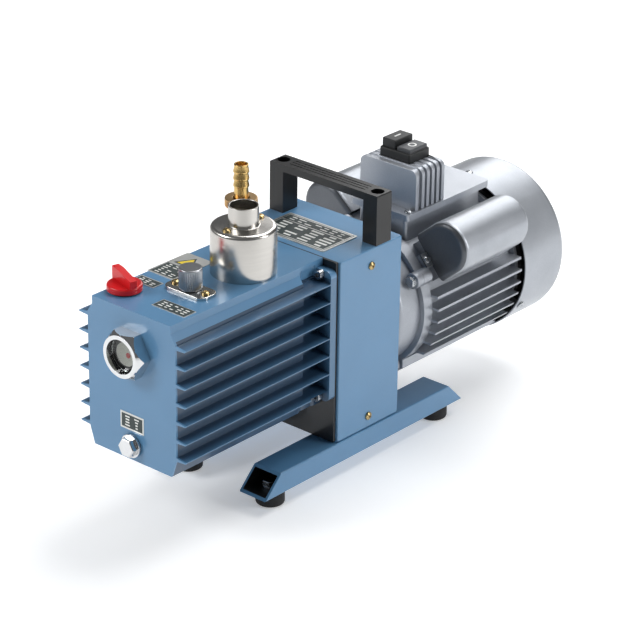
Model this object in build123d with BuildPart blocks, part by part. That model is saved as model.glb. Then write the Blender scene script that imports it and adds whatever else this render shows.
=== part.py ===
"""Two-stage rotary vane vacuum pump with its motor, in millimetres.

Row frame: +Z up from the floor, -Y to the oil case's front face with the sight glass, +Y to the
motor's fan, X across, with the shaft's plane at X = 0 and Y = 0 midway along the machine.
"""
import os
from math import cos, degrees, radians, sin

from build123d import *

os.makedirs("parts", exist_ok=True)

# ---------------------------------------------------------------- lengths along the shaft
window_reach = 15.0         # sight glass nut, ahead of the case's front face
case_length = 204.5
pump_plate_t = 3.0          # black plate between the case and the bracket
bracket_length = 89.1
shield_length = 32.4        # drum of the drive-end shield
frame_length = 148.0        # finned motor frame
cowl_length = 68.0

# ---------------------------------------------------------------- heights
foot_height = 15.1
rail_height = 22.0
bracket_height = 187.6
case_step = 0.9             # case top above the bracket's top
case_height = 150.0
shaft_drop = 93.9           # shaft axis below the bracket's top

# ---------------------------------------------------------------- oil case
case_top_width = 97.7
case_body_width = 109.5
case_bottom_width = 97.4
case_lip = 7.8              # upright lip under the top face
case_top_slope = 9.0
case_bottom_slope = 18.2
case_wall = 6.0
case_core_width = 97.0      # body width behind the fins' open ends
cavity_width = 86.0
open_run = 25.0             # stretch where the body is narrow and the screws are reached
flange_t = 8.0
flange_width = 132.0
fin_count = 7
fin_pitch = 18.45
fin_drop = 17.0             # first fin's root below the case's top
fin_root_t = 4.4
fin_tip_t = 1.0
fin_slope = 2.6

# ---------------------------------------------------------------- bracket, rails, feet, handle
bracket_width = 130.8
bracket_wall = 8.0
bracket_skin = 6.0
side_cover_t = 2.6
cover_lift = 0.6            # side cover above the rail
rail_length = 293.0
rail_width = 33.2
rail_wall = 2.5
rail_spread = 105.6         # between the rails' centre lines
rail_nose = 103.8           # rail's lower front end behind the case's front
foot_r = 14.0
foot_inset = 25.0
handle_width = 134.4
handle_depth = 21.3
handle_leg = 17.0
handle_height = 50.3
handle_bar = 7.5
handle_setback = 51.9       # handle's front face behind the bracket's front

# ---------------------------------------------------------------- pump module
module_size = 80.0
shaft_r = 9.0
rotor_r = 22.0
bore_r = 26.0
top_gap = 0.05              # rotor to bore at the seal line
high_stage_length = 50.0
low_stage_length = 25.0
centre_plate_t = 8.0
rear_cover_t = 12.0
front_cover_t = 10.0
vane_t = 4.0
run_gap = 0.05              # radial clearance of running fits
seat_gap = 0.1              # clearance of pieces set into one another
skin_gap = 0.3              # clearance of curved faces on different bodies

# ---------------------------------------------------------------- top and front fittings
exhaust_r = 31.0
exhaust_height = 47.0
exhaust_pipe_r = 14.2
exhaust_pipe_height = 19.2
inlet_pipe_r = 12.5
inlet_rise = 43.0           # inlet nut's underside above the case
nut_r = 15.5
nut_height = 8.1
barb_r = 7.6
barb_length = 33.5
cap_r = 16.5
cap_rim = 7.5
wing_height = 12.5
knob_r = 10.9
knob_height = 20.5
window_af = 43.0
glass_r = 16.5
plug_af = 17.0
plug_flange_r = 11.5

# ---------------------------------------------------------------- motor
shield_r = 67.0
frame_ring_r = 72.2
frame_tube_r = 66.0
frame_bore_r = 60.0
frame_fin_r = 80.4
frame_fin_pitch = 13.0
frame_fin_top = 16.5
frame_fin_count = 6
frame_fin_t = 2.4
cowl_r = 82.0
cowl_wall = 1.2
capacitor_r = 26.4
capacitor_angle = 40.0
capacitor_reach = 100.5     # cover's axis from the shaft
capacitor_length = 101.8
base_reach = 76.0           # cover's seat from the shaft
terminal_width = 70.6
terminal_depth = 43.5
terminal_height = 41.5
pad_rise = 89.7             # terminal seat above the shaft
bearing_r = 23.5
bearing_bore_r = 10.0
bearing_width = 14.0
ball_r = 3.95
ball_pitch_r = 16.75
ball_count = 8
core_length = 70.0
core_bore_r = 36.4
rotor_gap = 0.4

# ---------------------------------------------------------------- places worked out from the above
overall_length = (window_reach + case_length + pump_plate_t + bracket_length + shield_length
                  + frame_length + cowl_length)
case_front = window_reach - overall_length / 2
case_rear = case_front + case_length
bracket_front = case_rear + pump_plate_t
bracket_rear = bracket_front + bracket_length
shield_rear = bracket_rear + shield_length
frame_rear = shield_rear + frame_length
cowl_rear = frame_rear + cowl_length

rail_top = foot_height + rail_height
bracket_top = rail_top + bracket_height
case_top = bracket_top + case_step
case_bottom = case_top - case_height
shaft_z = bracket_top - shaft_drop
shaft = Axis((0, 0, shaft_z), (0, 1, 0))


def facing_front(y, x=0, z=0):
    """Plane across the shaft at y, facing the front: local X is X, local Y is Z."""
    return Plane(origin=(x, y, z), x_dir=(1, 0, 0), z_dir=(0, -1, 0))


def facing_rear(y, x=0, z=0):
    """Plane across the shaft at y, facing the motor: local X is -X, local Y is Z."""
    return Plane(origin=(x, y, z), x_dir=(-1, 0, 0), z_dir=(0, 1, 0))


def save(builder, label):
    """Name one finished sub-part and write it."""
    builder.part.label = label
    export_step(builder.part, f"parts/{label}.step")


# ================================================================ fasteners
def pan_screw(r, length):
    """Cross-head screw, its head's underside at the origin and its head upwards."""
    with BuildPart() as screw:
        Cylinder(2 * r, 1.3 * r, align=(Align.CENTER, Align.CENTER, Align.MIN))
        fillet(screw.edges().group_by(Axis.Z)[-1], 0.9 * r)
        with BuildSketch(Plane.XY.offset(1.3 * r)):
            Rectangle(2.4 * r, 0.5 * r)
            Rectangle(0.5 * r, 2.4 * r)
        extrude(amount=-0.7 * r, mode=Mode.SUBTRACT)
        Cylinder(r, length, align=(Align.CENTER, Align.CENTER, Align.MAX))
    return screw.part


def socket_screw(r, length):
    """Cylinder-head screw with a hexagon socket."""
    with BuildPart() as screw:
        Cylinder(1.55 * r, 2 * r, align=(Align.CENTER, Align.CENTER, Align.MIN))
        chamfer(screw.edges().group_by(Axis.Z)[-1], 0.15 * r)
        with BuildSketch(Plane.XY.offset(2 * r)):
            RegularPolygon(0.86 * r, 6)
        extrude(amount=-1.1 * r, mode=Mode.SUBTRACT)
        Cylinder(r, length, align=(Align.CENTER, Align.CENTER, Align.MAX))
    return screw.part


def hex_bolt(r, length, nut_at=0.0):
    """Hexagon bolt with a washer under its head, and a nut whose face is nut_at below it."""
    with BuildPart() as bolt:
        Cylinder(1.95 * r, 0.3 * r, align=(Align.CENTER, Align.CENTER, Align.MIN))
        with BuildSketch(Plane.XY.offset(0.3 * r)):
            RegularPolygon(1.6 * r, 6, major_radius=False)
        extrude(amount=1.3 * r)
        chamfer(bolt.edges().group_by(Axis.Z)[-1], 0.15 * r)
        Cylinder(r, length, align=(Align.CENTER, Align.CENTER, Align.MAX))
        if nut_at:
            with BuildSketch(Plane.XY.offset(-nut_at)):
                RegularPolygon(1.6 * r, 6, major_radius=False)
            extrude(amount=-1.3 * r)
    return bolt.part


# ================================================================ oil case
half_top = case_top_width / 2
half_body = case_body_width / 2
half_bottom = case_bottom_width / 2
slope_foot = case_top - case_lip - case_top_slope
open_front = case_rear - flange_t - open_run
exhaust_x = 15.3
exhaust_y = case_front + 132.0
inlet_x = -22.5
inlet_y = case_front + 170.0
filler_x = -35.0
filler_y = case_front + 28.0
knob_x = 10.0
knob_y = case_front + 67.0
window_z = case_top - 40.6
plug_z = case_bottom + 15.4
filler_hole_r = 11.0
filler_stem_r = 10.6
filler_stem = 10.0
ballast_screw_reach = 18.6
window_hole_r = 14.0
plug_thread_r = 7.0
case_screw_x = 54.0
case_screw_inset = 12.0
case_screw_r = 3.0
pocket_top = 4.0            # case top left over the screw pockets
exhaust_slot_r = 12.0


def case_outline(core_half):
    """Half outline of the case's body, from its crown to its floor, at one body half-width."""
    narrow_top = min(half_top, core_half)
    narrow_bottom = min(half_bottom, core_half)
    return [(0, case_top), (narrow_top, case_top), (narrow_top, case_top - case_lip), (core_half, slope_foot),
            (core_half, case_bottom + case_bottom_slope), (narrow_bottom, case_bottom), (0, case_bottom)]


with BuildPart() as oil_case:
    # thick body up to the open stretch, and the narrow core behind it
    stretches = ((case_front, open_front, half_body), (open_front, case_rear, case_core_width / 2))
    for start, end, half in stretches:
        with BuildSketch(facing_front(end)):
            with BuildLine():
                outline = Polyline(*case_outline(half), close=False)
                mirror(outline, about=Plane.YZ)
            make_face()
        extrude(amount=end - start)
    # fins down each side, over the whole length
    with BuildSketch(facing_front(case_rear)):
        for row in range(fin_count):
            root = case_top - fin_drop - row * fin_pitch
            reach = flange_width / 2
            with BuildLine():
                Polyline((0, root), (case_core_width / 2, root), (reach, root - fin_slope),
                         (reach, root - fin_slope - fin_tip_t), (half_body, root - fin_root_t),
                         (0, root - fin_root_t), close=True)
            make_face()
        mirror(about=Plane.YZ)
    extrude(amount=case_length)
    # rear flange, seated on the black plate
    with BuildSketch(facing_front(case_rear, z=(case_top + case_bottom) / 2)):
        RectangleRounded(flange_width, case_height - 2 * case_lip, 6)
    extrude(amount=flange_t)
    # pockets at the four rear corners, where the screws are reached
    for side in (-1, 1):
        for low, high in ((slope_foot + 1, case_top - pocket_top), (case_bottom - 1, case_bottom + 20)):
            with BuildSketch(Plane.XY.offset(low)):
                with Locations((side * (case_screw_x + 16), case_rear - flange_t - open_run / 2)):
                    RectangleRounded(46, open_run, 6)
            extrude(amount=high - low, mode=Mode.SUBTRACT)
    # cavity, open at the rear
    with BuildSketch(facing_front(case_rear, z=(case_top + case_bottom) / 2)):
        RectangleRounded(cavity_width, case_height - 2 * case_wall, 8)
    extrude(amount=case_length - case_wall, mode=Mode.SUBTRACT)
    # openings for the front and top fittings
    with Locations(facing_front(case_front)):
        with Locations((0, window_z)):
            Hole(window_hole_r, case_wall)
        with Locations((0, plug_z)):
            Hole(plug_thread_r + seat_gap, case_wall)
    with Locations(Plane.XY.offset(case_top)):
        with Locations((filler_x, filler_y)):
            Hole(filler_hole_r, filler_stem + 2)
        with Locations((inlet_x, inlet_y)):
            Hole(inlet_pipe_r + seat_gap, case_wall)
        with Locations((exhaust_x, exhaust_y)):
            Hole(exhaust_slot_r, case_wall)
        with Locations((knob_x, knob_y)):
            Hole(4.0, case_wall)
        with Locations((knob_x - ballast_screw_reach, knob_y), (knob_x + ballast_screw_reach, knob_y)):
            Hole(2.1, 4)
    # screw holes through the rear flange
    with Locations(facing_rear(case_rear)):
        with Locations(*[(x, z) for x in (-case_screw_x, case_screw_x)
                         for z in (case_bottom + case_screw_inset, case_top - case_screw_inset)]):
            Hole(case_screw_r + seat_gap, flange_t)
save(oil_case, "oil_case")

# ================================================================ black plate behind the case
plate_bottom = rail_top + cover_lift
with BuildPart() as pump_plate:
    with BuildSketch(facing_rear(case_rear, z=(plate_bottom + bracket_top) / 2)):
        RectangleRounded(bracket_width, bracket_top - plate_bottom, 1.5)
    extrude(amount=pump_plate_t)
    with Locations(facing_front(case_rear)):
        with Locations((0, shaft_z)):
            Hole(shaft_r + 3, pump_plate_t)
        with Locations(*[(x, z) for x in (-case_screw_x, case_screw_x)
                         for z in (case_bottom + case_screw_inset, case_top - case_screw_inset)]):
            Hole(case_screw_r + seat_gap, pump_plate_t)
        with Locations((0, shaft_z)):
            with GridLocations(module_size - 14, module_size - 14, 2, 2):
                Hole(4 + seat_gap, pump_plate_t)
save(pump_plate, "pump_plate")

# ================================================================ bracket between pump and motor
cover_screw_y = bracket_front + bracket_length / 2
cover_screw_heights = (rail_top + 12.8, bracket_top - 17.0)
shield_bore_r = 34.0
handle_hole_x = handle_width / 2 - handle_leg / 2
handle_y = bracket_front + handle_setback + handle_depth / 2
rail_bolt_r = 4.0
rail_bolt_ys = (bracket_front + 22.0, bracket_rear - 22.0)
with BuildPart() as bracket:
    with BuildSketch(Plane.YZ.offset(-bracket_width / 2)):
        with Locations((bracket_front + bracket_length / 2, rail_top + bracket_height / 2)):
            Rectangle(bracket_length, bracket_height)
            Rectangle(bracket_length - 2 * bracket_wall, bracket_height - 2 * bracket_skin,
                      mode=Mode.SUBTRACT)
    extrude(amount=bracket_width)
    # lugs that take the side covers' screws
    for side in (-1, 1):
        for height in (rail_top + 10, bracket_top - 14):
            with Locations((side * (bracket_width / 2 - 7), cover_screw_y, height)):
                Box(14, 16, 20)
    for side in (-1, 1):
        for height in cover_screw_heights:
            with Locations(Location((side * bracket_width / 2, cover_screw_y, height), (0, side * 90, 0))):
                Hole(2.1, 10)
    # shaft, module bolts and case screws through the front wall; shaft through the rear wall
    with Locations(facing_front(bracket_front)):
        with Locations((0, shaft_z)):
            Hole(shaft_r + 6, bracket_wall)
            with GridLocations(module_size - 14, module_size - 14, 2, 2):
                Hole(4 + seat_gap, bracket_wall)
        with Locations(*[(x, z) for x in (-case_screw_x, case_screw_x)
                         for z in (case_bottom + case_screw_inset, case_top - case_screw_inset)]):
            Hole(case_screw_r + seat_gap, bracket_wall)
    with Locations(facing_rear(bracket_rear)):
        with Locations((0, shaft_z)):
            Hole(shield_bore_r, bracket_wall)
    with Locations(Plane.XY.offset(bracket_top)):
        with Locations((-handle_hole_x, handle_y), (handle_hole_x, handle_y)):
            Hole(4 + seat_gap, bracket_skin)
    with Locations(Plane.XY.offset(rail_top + bracket_skin)):
        with Locations(*[(x, y) for x in (-rail_spread / 2, rail_spread / 2) for y in rail_bolt_ys]):
            Hole(rail_bolt_r + seat_gap, bracket_skin)
save(bracket, "bracket")

cover_height = bracket_top - plate_bottom
with BuildPart() as side_covers:
    for side in (-1, 1):
        with BuildSketch(Plane.YZ.offset(side * bracket_width / 2)):
            with Locations((bracket_front + bracket_length / 2, plate_bottom + cover_height / 2)):
                RectangleRounded(bracket_length, cover_height, 2)
        extrude(amount=side * side_cover_t)
    fillet(side_covers.faces().sort_by(Axis.X)[-1].edges(), 1.2)
    fillet(side_covers.faces().sort_by(Axis.X)[0].edges(), 1.2)
    for side in (-1, 1):
        for height in cover_screw_heights:
            with Locations(Location((side * (bracket_width / 2 + side_cover_t), cover_screw_y, height),
                                    (0, side * 90, 0))):
                Hole(2.1, side_cover_t)
save(side_covers, "side_covers")

# ================================================================ rails and rubber feet
rail_front = case_front + rail_nose
foot_ys = (rail_front + foot_inset, rail_front + rail_length - foot_inset)
with BuildPart() as rails:
    for side in (-1, 1):
        with BuildSketch(facing_rear(rail_front, x=side * rail_spread / 2, z=foot_height + rail_height / 2)):
            RectangleRounded(rail_width, rail_height, 1.5)
            Rectangle(rail_width - 2 * rail_wall, rail_height - 2 * rail_wall, mode=Mode.SUBTRACT)
        extrude(amount=rail_length)
    # both ends cut at 45 degrees, the lower edge left longer
    with BuildSketch(Plane.YZ.offset(-rail_spread)):
        for tip, way in ((rail_front, 1), (rail_front + rail_length, -1)):
            with BuildLine():
                Polyline((tip, foot_height), (tip + way * rail_height, rail_top),
                         (tip + way * rail_height, rail_top + 1), (tip - way * 5, rail_top + 1),
                         (tip - way * 5, foot_height), close=True)
            make_face()
    extrude(amount=2 * rail_spread, mode=Mode.SUBTRACT)
    with Locations(Plane.XY.offset(rail_top)):
        with Locations(*[(x, y) for x in (-rail_spread / 2, rail_spread / 2) for y in rail_bolt_ys]):
            Hole(rail_bolt_r + seat_gap, rail_wall)
    with Locations(Plane.XY.offset(foot_height + rail_wall)):
        with Locations(*[(x, y) for x in (-rail_spread / 2, rail_spread / 2) for y in foot_ys]):
            Hole(rail_bolt_r + seat_gap, rail_wall)
save(rails, "rails")

foot_bolt_depth = 8.0
with BuildPart() as foot:
    Cylinder(foot_r, foot_height, align=(Align.CENTER, Align.CENTER, Align.MIN))
    fillet(foot.edges().group_by(Axis.Z)[0], 3)
    with Locations((0, 0, foot_height)):
        Hole(rail_bolt_r, foot_bolt_depth)
with BuildPart() as rubber_feet:
    with Locations(*[(x, y, 0) for x in (-rail_spread / 2, rail_spread / 2) for y in foot_ys]):
        add(foot.part)
save(rubber_feet, "rubber_feet")

clamped = bracket_skin + rail_wall
rail_bolt = hex_bolt(rail_bolt_r, clamped + 7, nut_at=clamped)
foot_bolt = hex_bolt(rail_bolt_r, rail_wall + foot_bolt_depth)
with BuildPart() as frame_bolts:
    with Locations(*[(x, y, rail_top + bracket_skin) for x in (-rail_spread / 2, rail_spread / 2)
                     for y in rail_bolt_ys]):
        add(rail_bolt)
    with Locations(*[(x, y, foot_height + rail_wall) for x in (-rail_spread / 2, rail_spread / 2)
                     for y in foot_ys]):
        add(foot_bolt)
save(frame_bolts, "frame_bolts")

# ================================================================ carrying handle
handle_seat = 12.0          # left under the handle screws' heads
with BuildPart() as handle:
    with BuildSketch(facing_rear(handle_y - handle_depth / 2)):
        with Locations((0, bracket_top + handle_height / 2)):
            Rectangle(handle_width, handle_height)
        with Locations((0, bracket_top + (handle_height - handle_bar) / 2)):
            Rectangle(handle_width - 2 * handle_leg, handle_height - handle_bar, mode=Mode.SUBTRACT)
    extrude(amount=handle_depth)
    fillet(handle.edges().filter_by(Axis.Y).group_by(Axis.Z)[-1], 1.5)
    # grip grooves along the bar's top
    with BuildSketch(Plane.XY.offset(bracket_top + handle_height)):
        with Locations((0, handle_y)):
            with GridLocations(0, 4.5, 1, 3):
                Rectangle(handle_width - 2 * handle_leg - 6, 1.2)
    extrude(amount=-0.8, mode=Mode.SUBTRACT)
    with Locations(Plane.XY.offset(bracket_top + handle_height)):
        with Locations((-handle_hole_x, handle_y), (handle_hole_x, handle_y)):
            CounterBoreHole(4.2, 6.4, handle_height - handle_seat, handle_height)
save(handle, "handle")

# ================================================================ cylinder-head screws
case_screw_ways = [(x, z) for x in (-case_screw_x, case_screw_x)
                   for z in (case_bottom + case_screw_inset, case_top - case_screw_inset)]
case_screw = socket_screw(case_screw_r, flange_t + pump_plate_t + bracket_wall)
handle_screw = socket_screw(4.0, handle_seat + bracket_skin)
with BuildPart() as socket_screws:
    with Locations(*[Location((x, case_rear - flange_t, z), (90, 0, 0)) for x, z in case_screw_ways]):
        add(case_screw)
    with Locations((-handle_hole_x, handle_y, bracket_top + handle_seat),
                   (handle_hole_x, handle_y, bracket_top + handle_seat)):
        add(handle_screw)
save(socket_screws, "socket_screws")

# ================================================================ exhaust can
exhaust_wall = 1.5
exhaust_screw_reach = 22.5
exhaust_top = case_top + exhaust_height
with BuildPart() as exhaust_body:
    with BuildSketch(Plane.XY.offset(case_top)):
        with Locations((exhaust_x, exhaust_y)):
            Circle(exhaust_r)
    extrude(amount=exhaust_height)
    fillet(exhaust_body.edges().group_by(Axis.Z)[-1], 4)
    with BuildSketch(Plane.XY.offset(case_top)):
        with Locations((exhaust_x, exhaust_y)):
            Circle(exhaust_r - exhaust_wall)
    extrude(amount=exhaust_height - 2, mode=Mode.SUBTRACT)
    with BuildSketch(Plane.XY.offset(exhaust_top - 2)):
        with Locations((exhaust_x, exhaust_y)):
            Circle(exhaust_pipe_r)
    extrude(amount=2 + exhaust_pipe_height)
    with BuildSketch(Plane.XY.offset(exhaust_top - 2)):
        with Locations((exhaust_x, exhaust_y)):
            Circle(exhaust_pipe_r - exhaust_wall)
    extrude(amount=2 + exhaust_pipe_height, mode=Mode.SUBTRACT)
    with Locations(Plane.XY.offset(exhaust_top)):
        with Locations((exhaust_x, exhaust_y - exhaust_screw_reach),
                       (exhaust_x, exhaust_y + exhaust_screw_reach)):
            Hole(2.1, 2)
save(exhaust_body, "exhaust_body")

with BuildPart() as exhaust_filter:
    with BuildSketch(Plane.XY.offset(case_top)):
        with Locations((exhaust_x, exhaust_y)):
            Circle(19)
            Circle(9, mode=Mode.SUBTRACT)
    extrude(amount=exhaust_height - 5)
save(exhaust_filter, "exhaust_filter")

# ================================================================ gas ballast valve
ballast_plate_t = 3.0
ballast_plate_length = 50.0
ballast_plate_width = 24.0
ballast_thread_r = 5.0
ballast_pin_r = 3.0
with BuildPart() as ballast_plate:
    with BuildSketch(Plane.XY.offset(case_top)):
        with Locations((knob_x, knob_y)):
            RectangleRounded(ballast_plate_length, ballast_plate_width, 8)
    extrude(amount=ballast_plate_t)
    fillet(ballast_plate.edges().group_by(Axis.Z)[-1], 0.8)
    with BuildSketch(Plane.XY.offset(case_top + ballast_plate_t)):
        with Locations((knob_x, knob_y)):
            Circle(ballast_thread_r + 1)
    extrude(amount=7)
    with Locations(Plane.XY.offset(case_top + ballast_plate_t + 7)):
        with Locations((knob_x, knob_y)):
            Hole(ballast_pin_r + run_gap, ballast_plate_t + 7)
    with Locations(Plane.XY.offset(case_top + ballast_plate_t)):
        with Locations((knob_x - ballast_screw_reach, knob_y), (knob_x + ballast_screw_reach, knob_y)):
            Hole(2.1, ballast_plate_t)
save(ballast_plate, "ballast_plate")

knob_base = case_top + ballast_plate_t + 0.4
knurl_count = 40
knurl_r = 0.4
with BuildPart() as ballast_knob:
    with BuildSketch(Plane.XY.offset(knob_base)):
        with Locations((knob_x, knob_y)):
            Circle(knob_r)
    extrude(amount=knob_height)
    chamfer(ballast_knob.edges().group_by(Axis.Z)[-1], 0.8)
    # knurl grooves round the side
    with BuildSketch(Plane.XY.offset(knob_base)):
        with Locations((knob_x, knob_y)):
            with PolarLocations(knob_r + 0.1, knurl_count):
                Circle(knurl_r)
    extrude(amount=knob_height, mode=Mode.SUBTRACT)
    with BuildSketch(Plane.XY.offset(knob_base)):
        with Locations((knob_x, knob_y)):
            Circle(ballast_thread_r + 1 + skin_gap)
    extrude(amount=12, mode=Mode.SUBTRACT)
    with BuildSketch(Plane.XY.offset(knob_base)):
        with Locations((knob_x, knob_y)):
            Circle(ballast_pin_r + run_gap)
    extrude(amount=16, mode=Mode.SUBTRACT)
save(ballast_knob, "ballast_knob")

with BuildPart() as ballast_pin:
    with BuildSketch(Plane.XY.offset(case_top - 4)):
        with Locations((knob_x, knob_y)):
            Circle(ballast_pin_r)
    extrude(amount=4 + ballast_plate_t + 0.4 + 15.8)
    chamfer(ballast_pin.edges().group_by(Axis.Z)[0], 2)
save(ballast_pin, "ballast_pin")

# ================================================================ oil filler cap
with BuildPart() as filler_seal:
    with BuildSketch(Plane.XY.offset(case_top)):
        with Locations((filler_x, filler_y)):
            Circle(cap_r - 2)
            Circle(filler_stem_r + skin_gap, mode=Mode.SUBTRACT)
    extrude(amount=1.5)
save(filler_seal, "filler_seal")

wing_turn = -15.0
with BuildPart() as filler_cap:
    with BuildSketch(Plane.XY.offset(case_top + 1.5)):
        with Locations((filler_x, filler_y)):
            Circle(cap_r)
    extrude(amount=cap_rim - 1.5)
    fillet(filler_cap.edges().group_by(Axis.Z)[-1], 2)
    # the wing: a bar across the cap, high at its outer ends
    wing_plane = Plane(origin=(filler_x, filler_y, case_top + cap_rim)).rotated((0, 0, wing_turn))
    with BuildSketch(Plane(origin=wing_plane.origin, x_dir=wing_plane.x_dir, z_dir=-wing_plane.y_dir)):
        with BuildLine():
            Polyline((-cap_r + 0.5, -0.5), (-cap_r + 0.5, wing_height), (-cap_r + 5, wing_height),
                     (cap_r - 0.5, wing_height * 0.55), (cap_r - 0.5, -0.5), close=True)
        make_face()
    extrude(amount=3.6, both=True)
    fillet(filler_cap.edges().group_by(Axis.Z)[-1], 1.5)
    with BuildSketch(Plane.XY.offset(case_top + 1.5)):
        with Locations((filler_x, filler_y)):
            Circle(filler_stem_r)
    extrude(amount=-filler_stem)
save(filler_cap, "filler_cap")

# ================================================================ sight glass
glass_t = 5.0
with BuildPart() as sight_glass_nut:
    with BuildSketch(facing_front(case_front, z=window_z)):
        RegularPolygon(window_af / 2, 6, major_radius=False)
    extrude(amount=window_reach)
    # the hexagon's corners turned down towards the front
    with BuildSketch(Plane.YZ):
        with BuildLine():
            Polyline((case_front - window_reach - 1, window_z + window_af / 2 - 1.4),
                     (case_front - window_reach, window_z + window_af / 2 - 1),
                     (case_front - window_reach + 6, window_z + window_af / 2 + 3),
                     (case_front - window_reach + 6, window_z + window_af),
                     (case_front - window_reach - 1, window_z + window_af), close=True)
        make_face()
    revolve(axis=Axis((0, 0, window_z), (0, 1, 0)), mode=Mode.SUBTRACT)
    with Locations(facing_front(case_front - window_reach, z=window_z)):
        CounterBoreHole(window_hole_r, glass_r + seat_gap, window_reach - 4, window_reach)
save(sight_glass_nut, "sight_glass_nut")

with BuildPart() as sight_glass_lens:
    with BuildSketch(facing_front(case_front - 4 - 1.2, z=window_z)):
        Circle(glass_r)
    extrude(amount=glass_t)
save(sight_glass_lens, "sight_glass_lens")

with BuildPart() as sight_glass_disc:
    with BuildSketch(facing_front(case_front - 4, z=window_z)):
        Circle(glass_r)
        with Locations((0, 0)):
            Circle(9, mode=Mode.SUBTRACT)
        Rectangle(3, 20)
    extrude(amount=1.2)
    with BuildSketch(facing_front(case_front - 4, z=window_z)):
        Circle(3)
    extrude(amount=1.2)
save(sight_glass_disc, "sight_glass_disc")

# ================================================================ drain plug
washer_t = 1.5
with BuildPart() as drain_washer:
    with BuildSketch(facing_front(case_front, z=plug_z)):
        Circle(plug_flange_r - 1)
        Circle(plug_thread_r + skin_gap, mode=Mode.SUBTRACT)
    extrude(amount=washer_t)
save(drain_washer, "drain_washer")

with BuildPart() as drain_plug:
    with BuildSketch(facing_front(case_front - washer_t, z=plug_z)):
        Circle(plug_flange_r)
    extrude(amount=2)
    with BuildSketch(facing_front(case_front - washer_t - 2, z=plug_z)):
        RegularPolygon(plug_af / 2, 6, major_radius=False)
    extrude(amount=6)
    chamfer(drain_plug.edges().group_by(Axis.Y)[0], 0.8)
    with BuildSketch(facing_rear(case_front - washer_t, z=plug_z)):
        Circle(plug_thread_r)
    extrude(amount=washer_t + case_wall + 4)
save(drain_plug, "drain_plug")

# ================================================================ pump module, from the bracket forwards
rear_cover_y = case_rear - rear_cover_t
high_y = rear_cover_y - high_stage_length
centre_y = high_y - centre_plate_t
low_y = centre_y - low_stage_length
front_cover_y = low_y - front_cover_t
bore_drop = bore_r - rotor_r - top_gap
module_bolt_r = 4.0
module_bolt_pitch = module_size - 14


def module_section(y, bore, drop, length):
    """One plate of the module: square, with its bore and four bolt holes."""
    with BuildPart() as plate:
        with BuildSketch(facing_rear(y, z=shaft_z)):
            RectangleRounded(module_size, module_size, 4)
            with Locations((0, -drop)):
                Circle(bore, mode=Mode.SUBTRACT)
            with GridLocations(module_bolt_pitch, module_bolt_pitch, 2, 2):
                Circle(module_bolt_r + seat_gap, mode=Mode.SUBTRACT)
        extrude(amount=length)
    return plate.part


inlet_way_r = 6.0
valve_x = 14.0
valve_y = low_y + low_stage_length / 2
module_top = shaft_z + module_size / 2
with BuildPart() as high_stage_stator:
    add(module_section(high_y, bore_r, bore_drop, high_stage_length))
    with Locations(Plane.XY.offset(module_top)):
        with Locations((inlet_x, inlet_y)):
            Hole(inlet_way_r, module_size / 2)
save(high_stage_stator, "high_stage_stator")

with BuildPart() as low_stage_stator:
    add(module_section(low_y, bore_r, bore_drop, low_stage_length))
    with Locations(Plane.XY.offset(module_top)):
        with Locations((valve_x, valve_y)):
            Hole(3, module_size / 2)
save(low_stage_stator, "low_stage_stator")

with BuildPart() as centre_plate:
    add(module_section(centre_y, shaft_r + run_gap, 0, centre_plate_t))
save(centre_plate, "centre_plate")

with BuildPart() as pump_front_cover:
    add(module_section(front_cover_y, shaft_r + run_gap, 0, front_cover_t))
save(pump_front_cover, "pump_front_cover")

seal_r = 16.0
seal_t = 7.0
with BuildPart() as pump_rear_cover:
    add(module_section(rear_cover_y, shaft_r + run_gap, 0, rear_cover_t))
    with BuildSketch(facing_front(case_rear, z=shaft_z)):
        Circle(seal_r + seat_gap)
    extrude(amount=seal_t, mode=Mode.SUBTRACT)
save(pump_rear_cover, "pump_rear_cover")

with BuildPart() as shaft_seal:
    with BuildSketch(facing_front(case_rear, z=shaft_z)):
        Circle(seal_r)
        Circle(shaft_r + run_gap, mode=Mode.SUBTRACT)
    extrude(amount=seal_t)
save(shaft_seal, "shaft_seal")

module_depth = case_rear - front_cover_y
module_bolt = hex_bolt(module_bolt_r, module_depth + pump_plate_t + bracket_wall)
with BuildPart() as pump_bolts:
    with Locations(facing_front(front_cover_y, z=shaft_z)):
        with GridLocations(module_bolt_pitch, module_bolt_pitch, 2, 2):
            add(module_bolt)
save(pump_bolts, "pump_bolts")

with BuildPart() as exhaust_valve:
    with Locations((valve_x + 4, valve_y, module_top)):
        Box(26, 12, 0.5, align=(Align.CENTER, Align.CENTER, Align.MIN))
    with BuildSketch(Plane.XZ.offset(-valve_y - 6)):
        with BuildLine():
            Polyline((valve_x + 17, module_top + 0.5), (valve_x + 17, module_top + 2.5),
                     (valve_x + 8, module_top + 2.5), (valve_x - 9, module_top + 5.5),
                     (valve_x - 9, module_top + 4), (valve_x + 8, module_top + 0.5),
                     close=True)
        make_face()
    extrude(amount=12)
    with Locations((valve_x + 12.5, valve_y, module_top + 2.5)):
        Cylinder(3.5, 2.5, align=(Align.CENTER, Align.CENTER, Align.MIN))
save(exhaust_valve, "exhaust_valve")

# ================================================================ rotors, vanes and springs
side_gap = 0.1
slot_w = vane_t + 0.1
vane_inner = 4.0
vane_tip = rotor_r - 0.1
tongue_t = 5.0
tongue_length = 3.0
coupling_reach = 35.0       # pump shaft behind the case's rear face


def slotted_rotor(y, length):
    """Rotor body with its vane slot right through, lying level at rest."""
    with BuildPart() as rotor:
        with BuildSketch(facing_rear(y + side_gap, z=shaft_z)):
            Circle(rotor_r)
            Rectangle(2 * rotor_r + 2, slot_w, mode=Mode.SUBTRACT)
        extrude(amount=length - 2 * side_gap)
    return rotor.part


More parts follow.
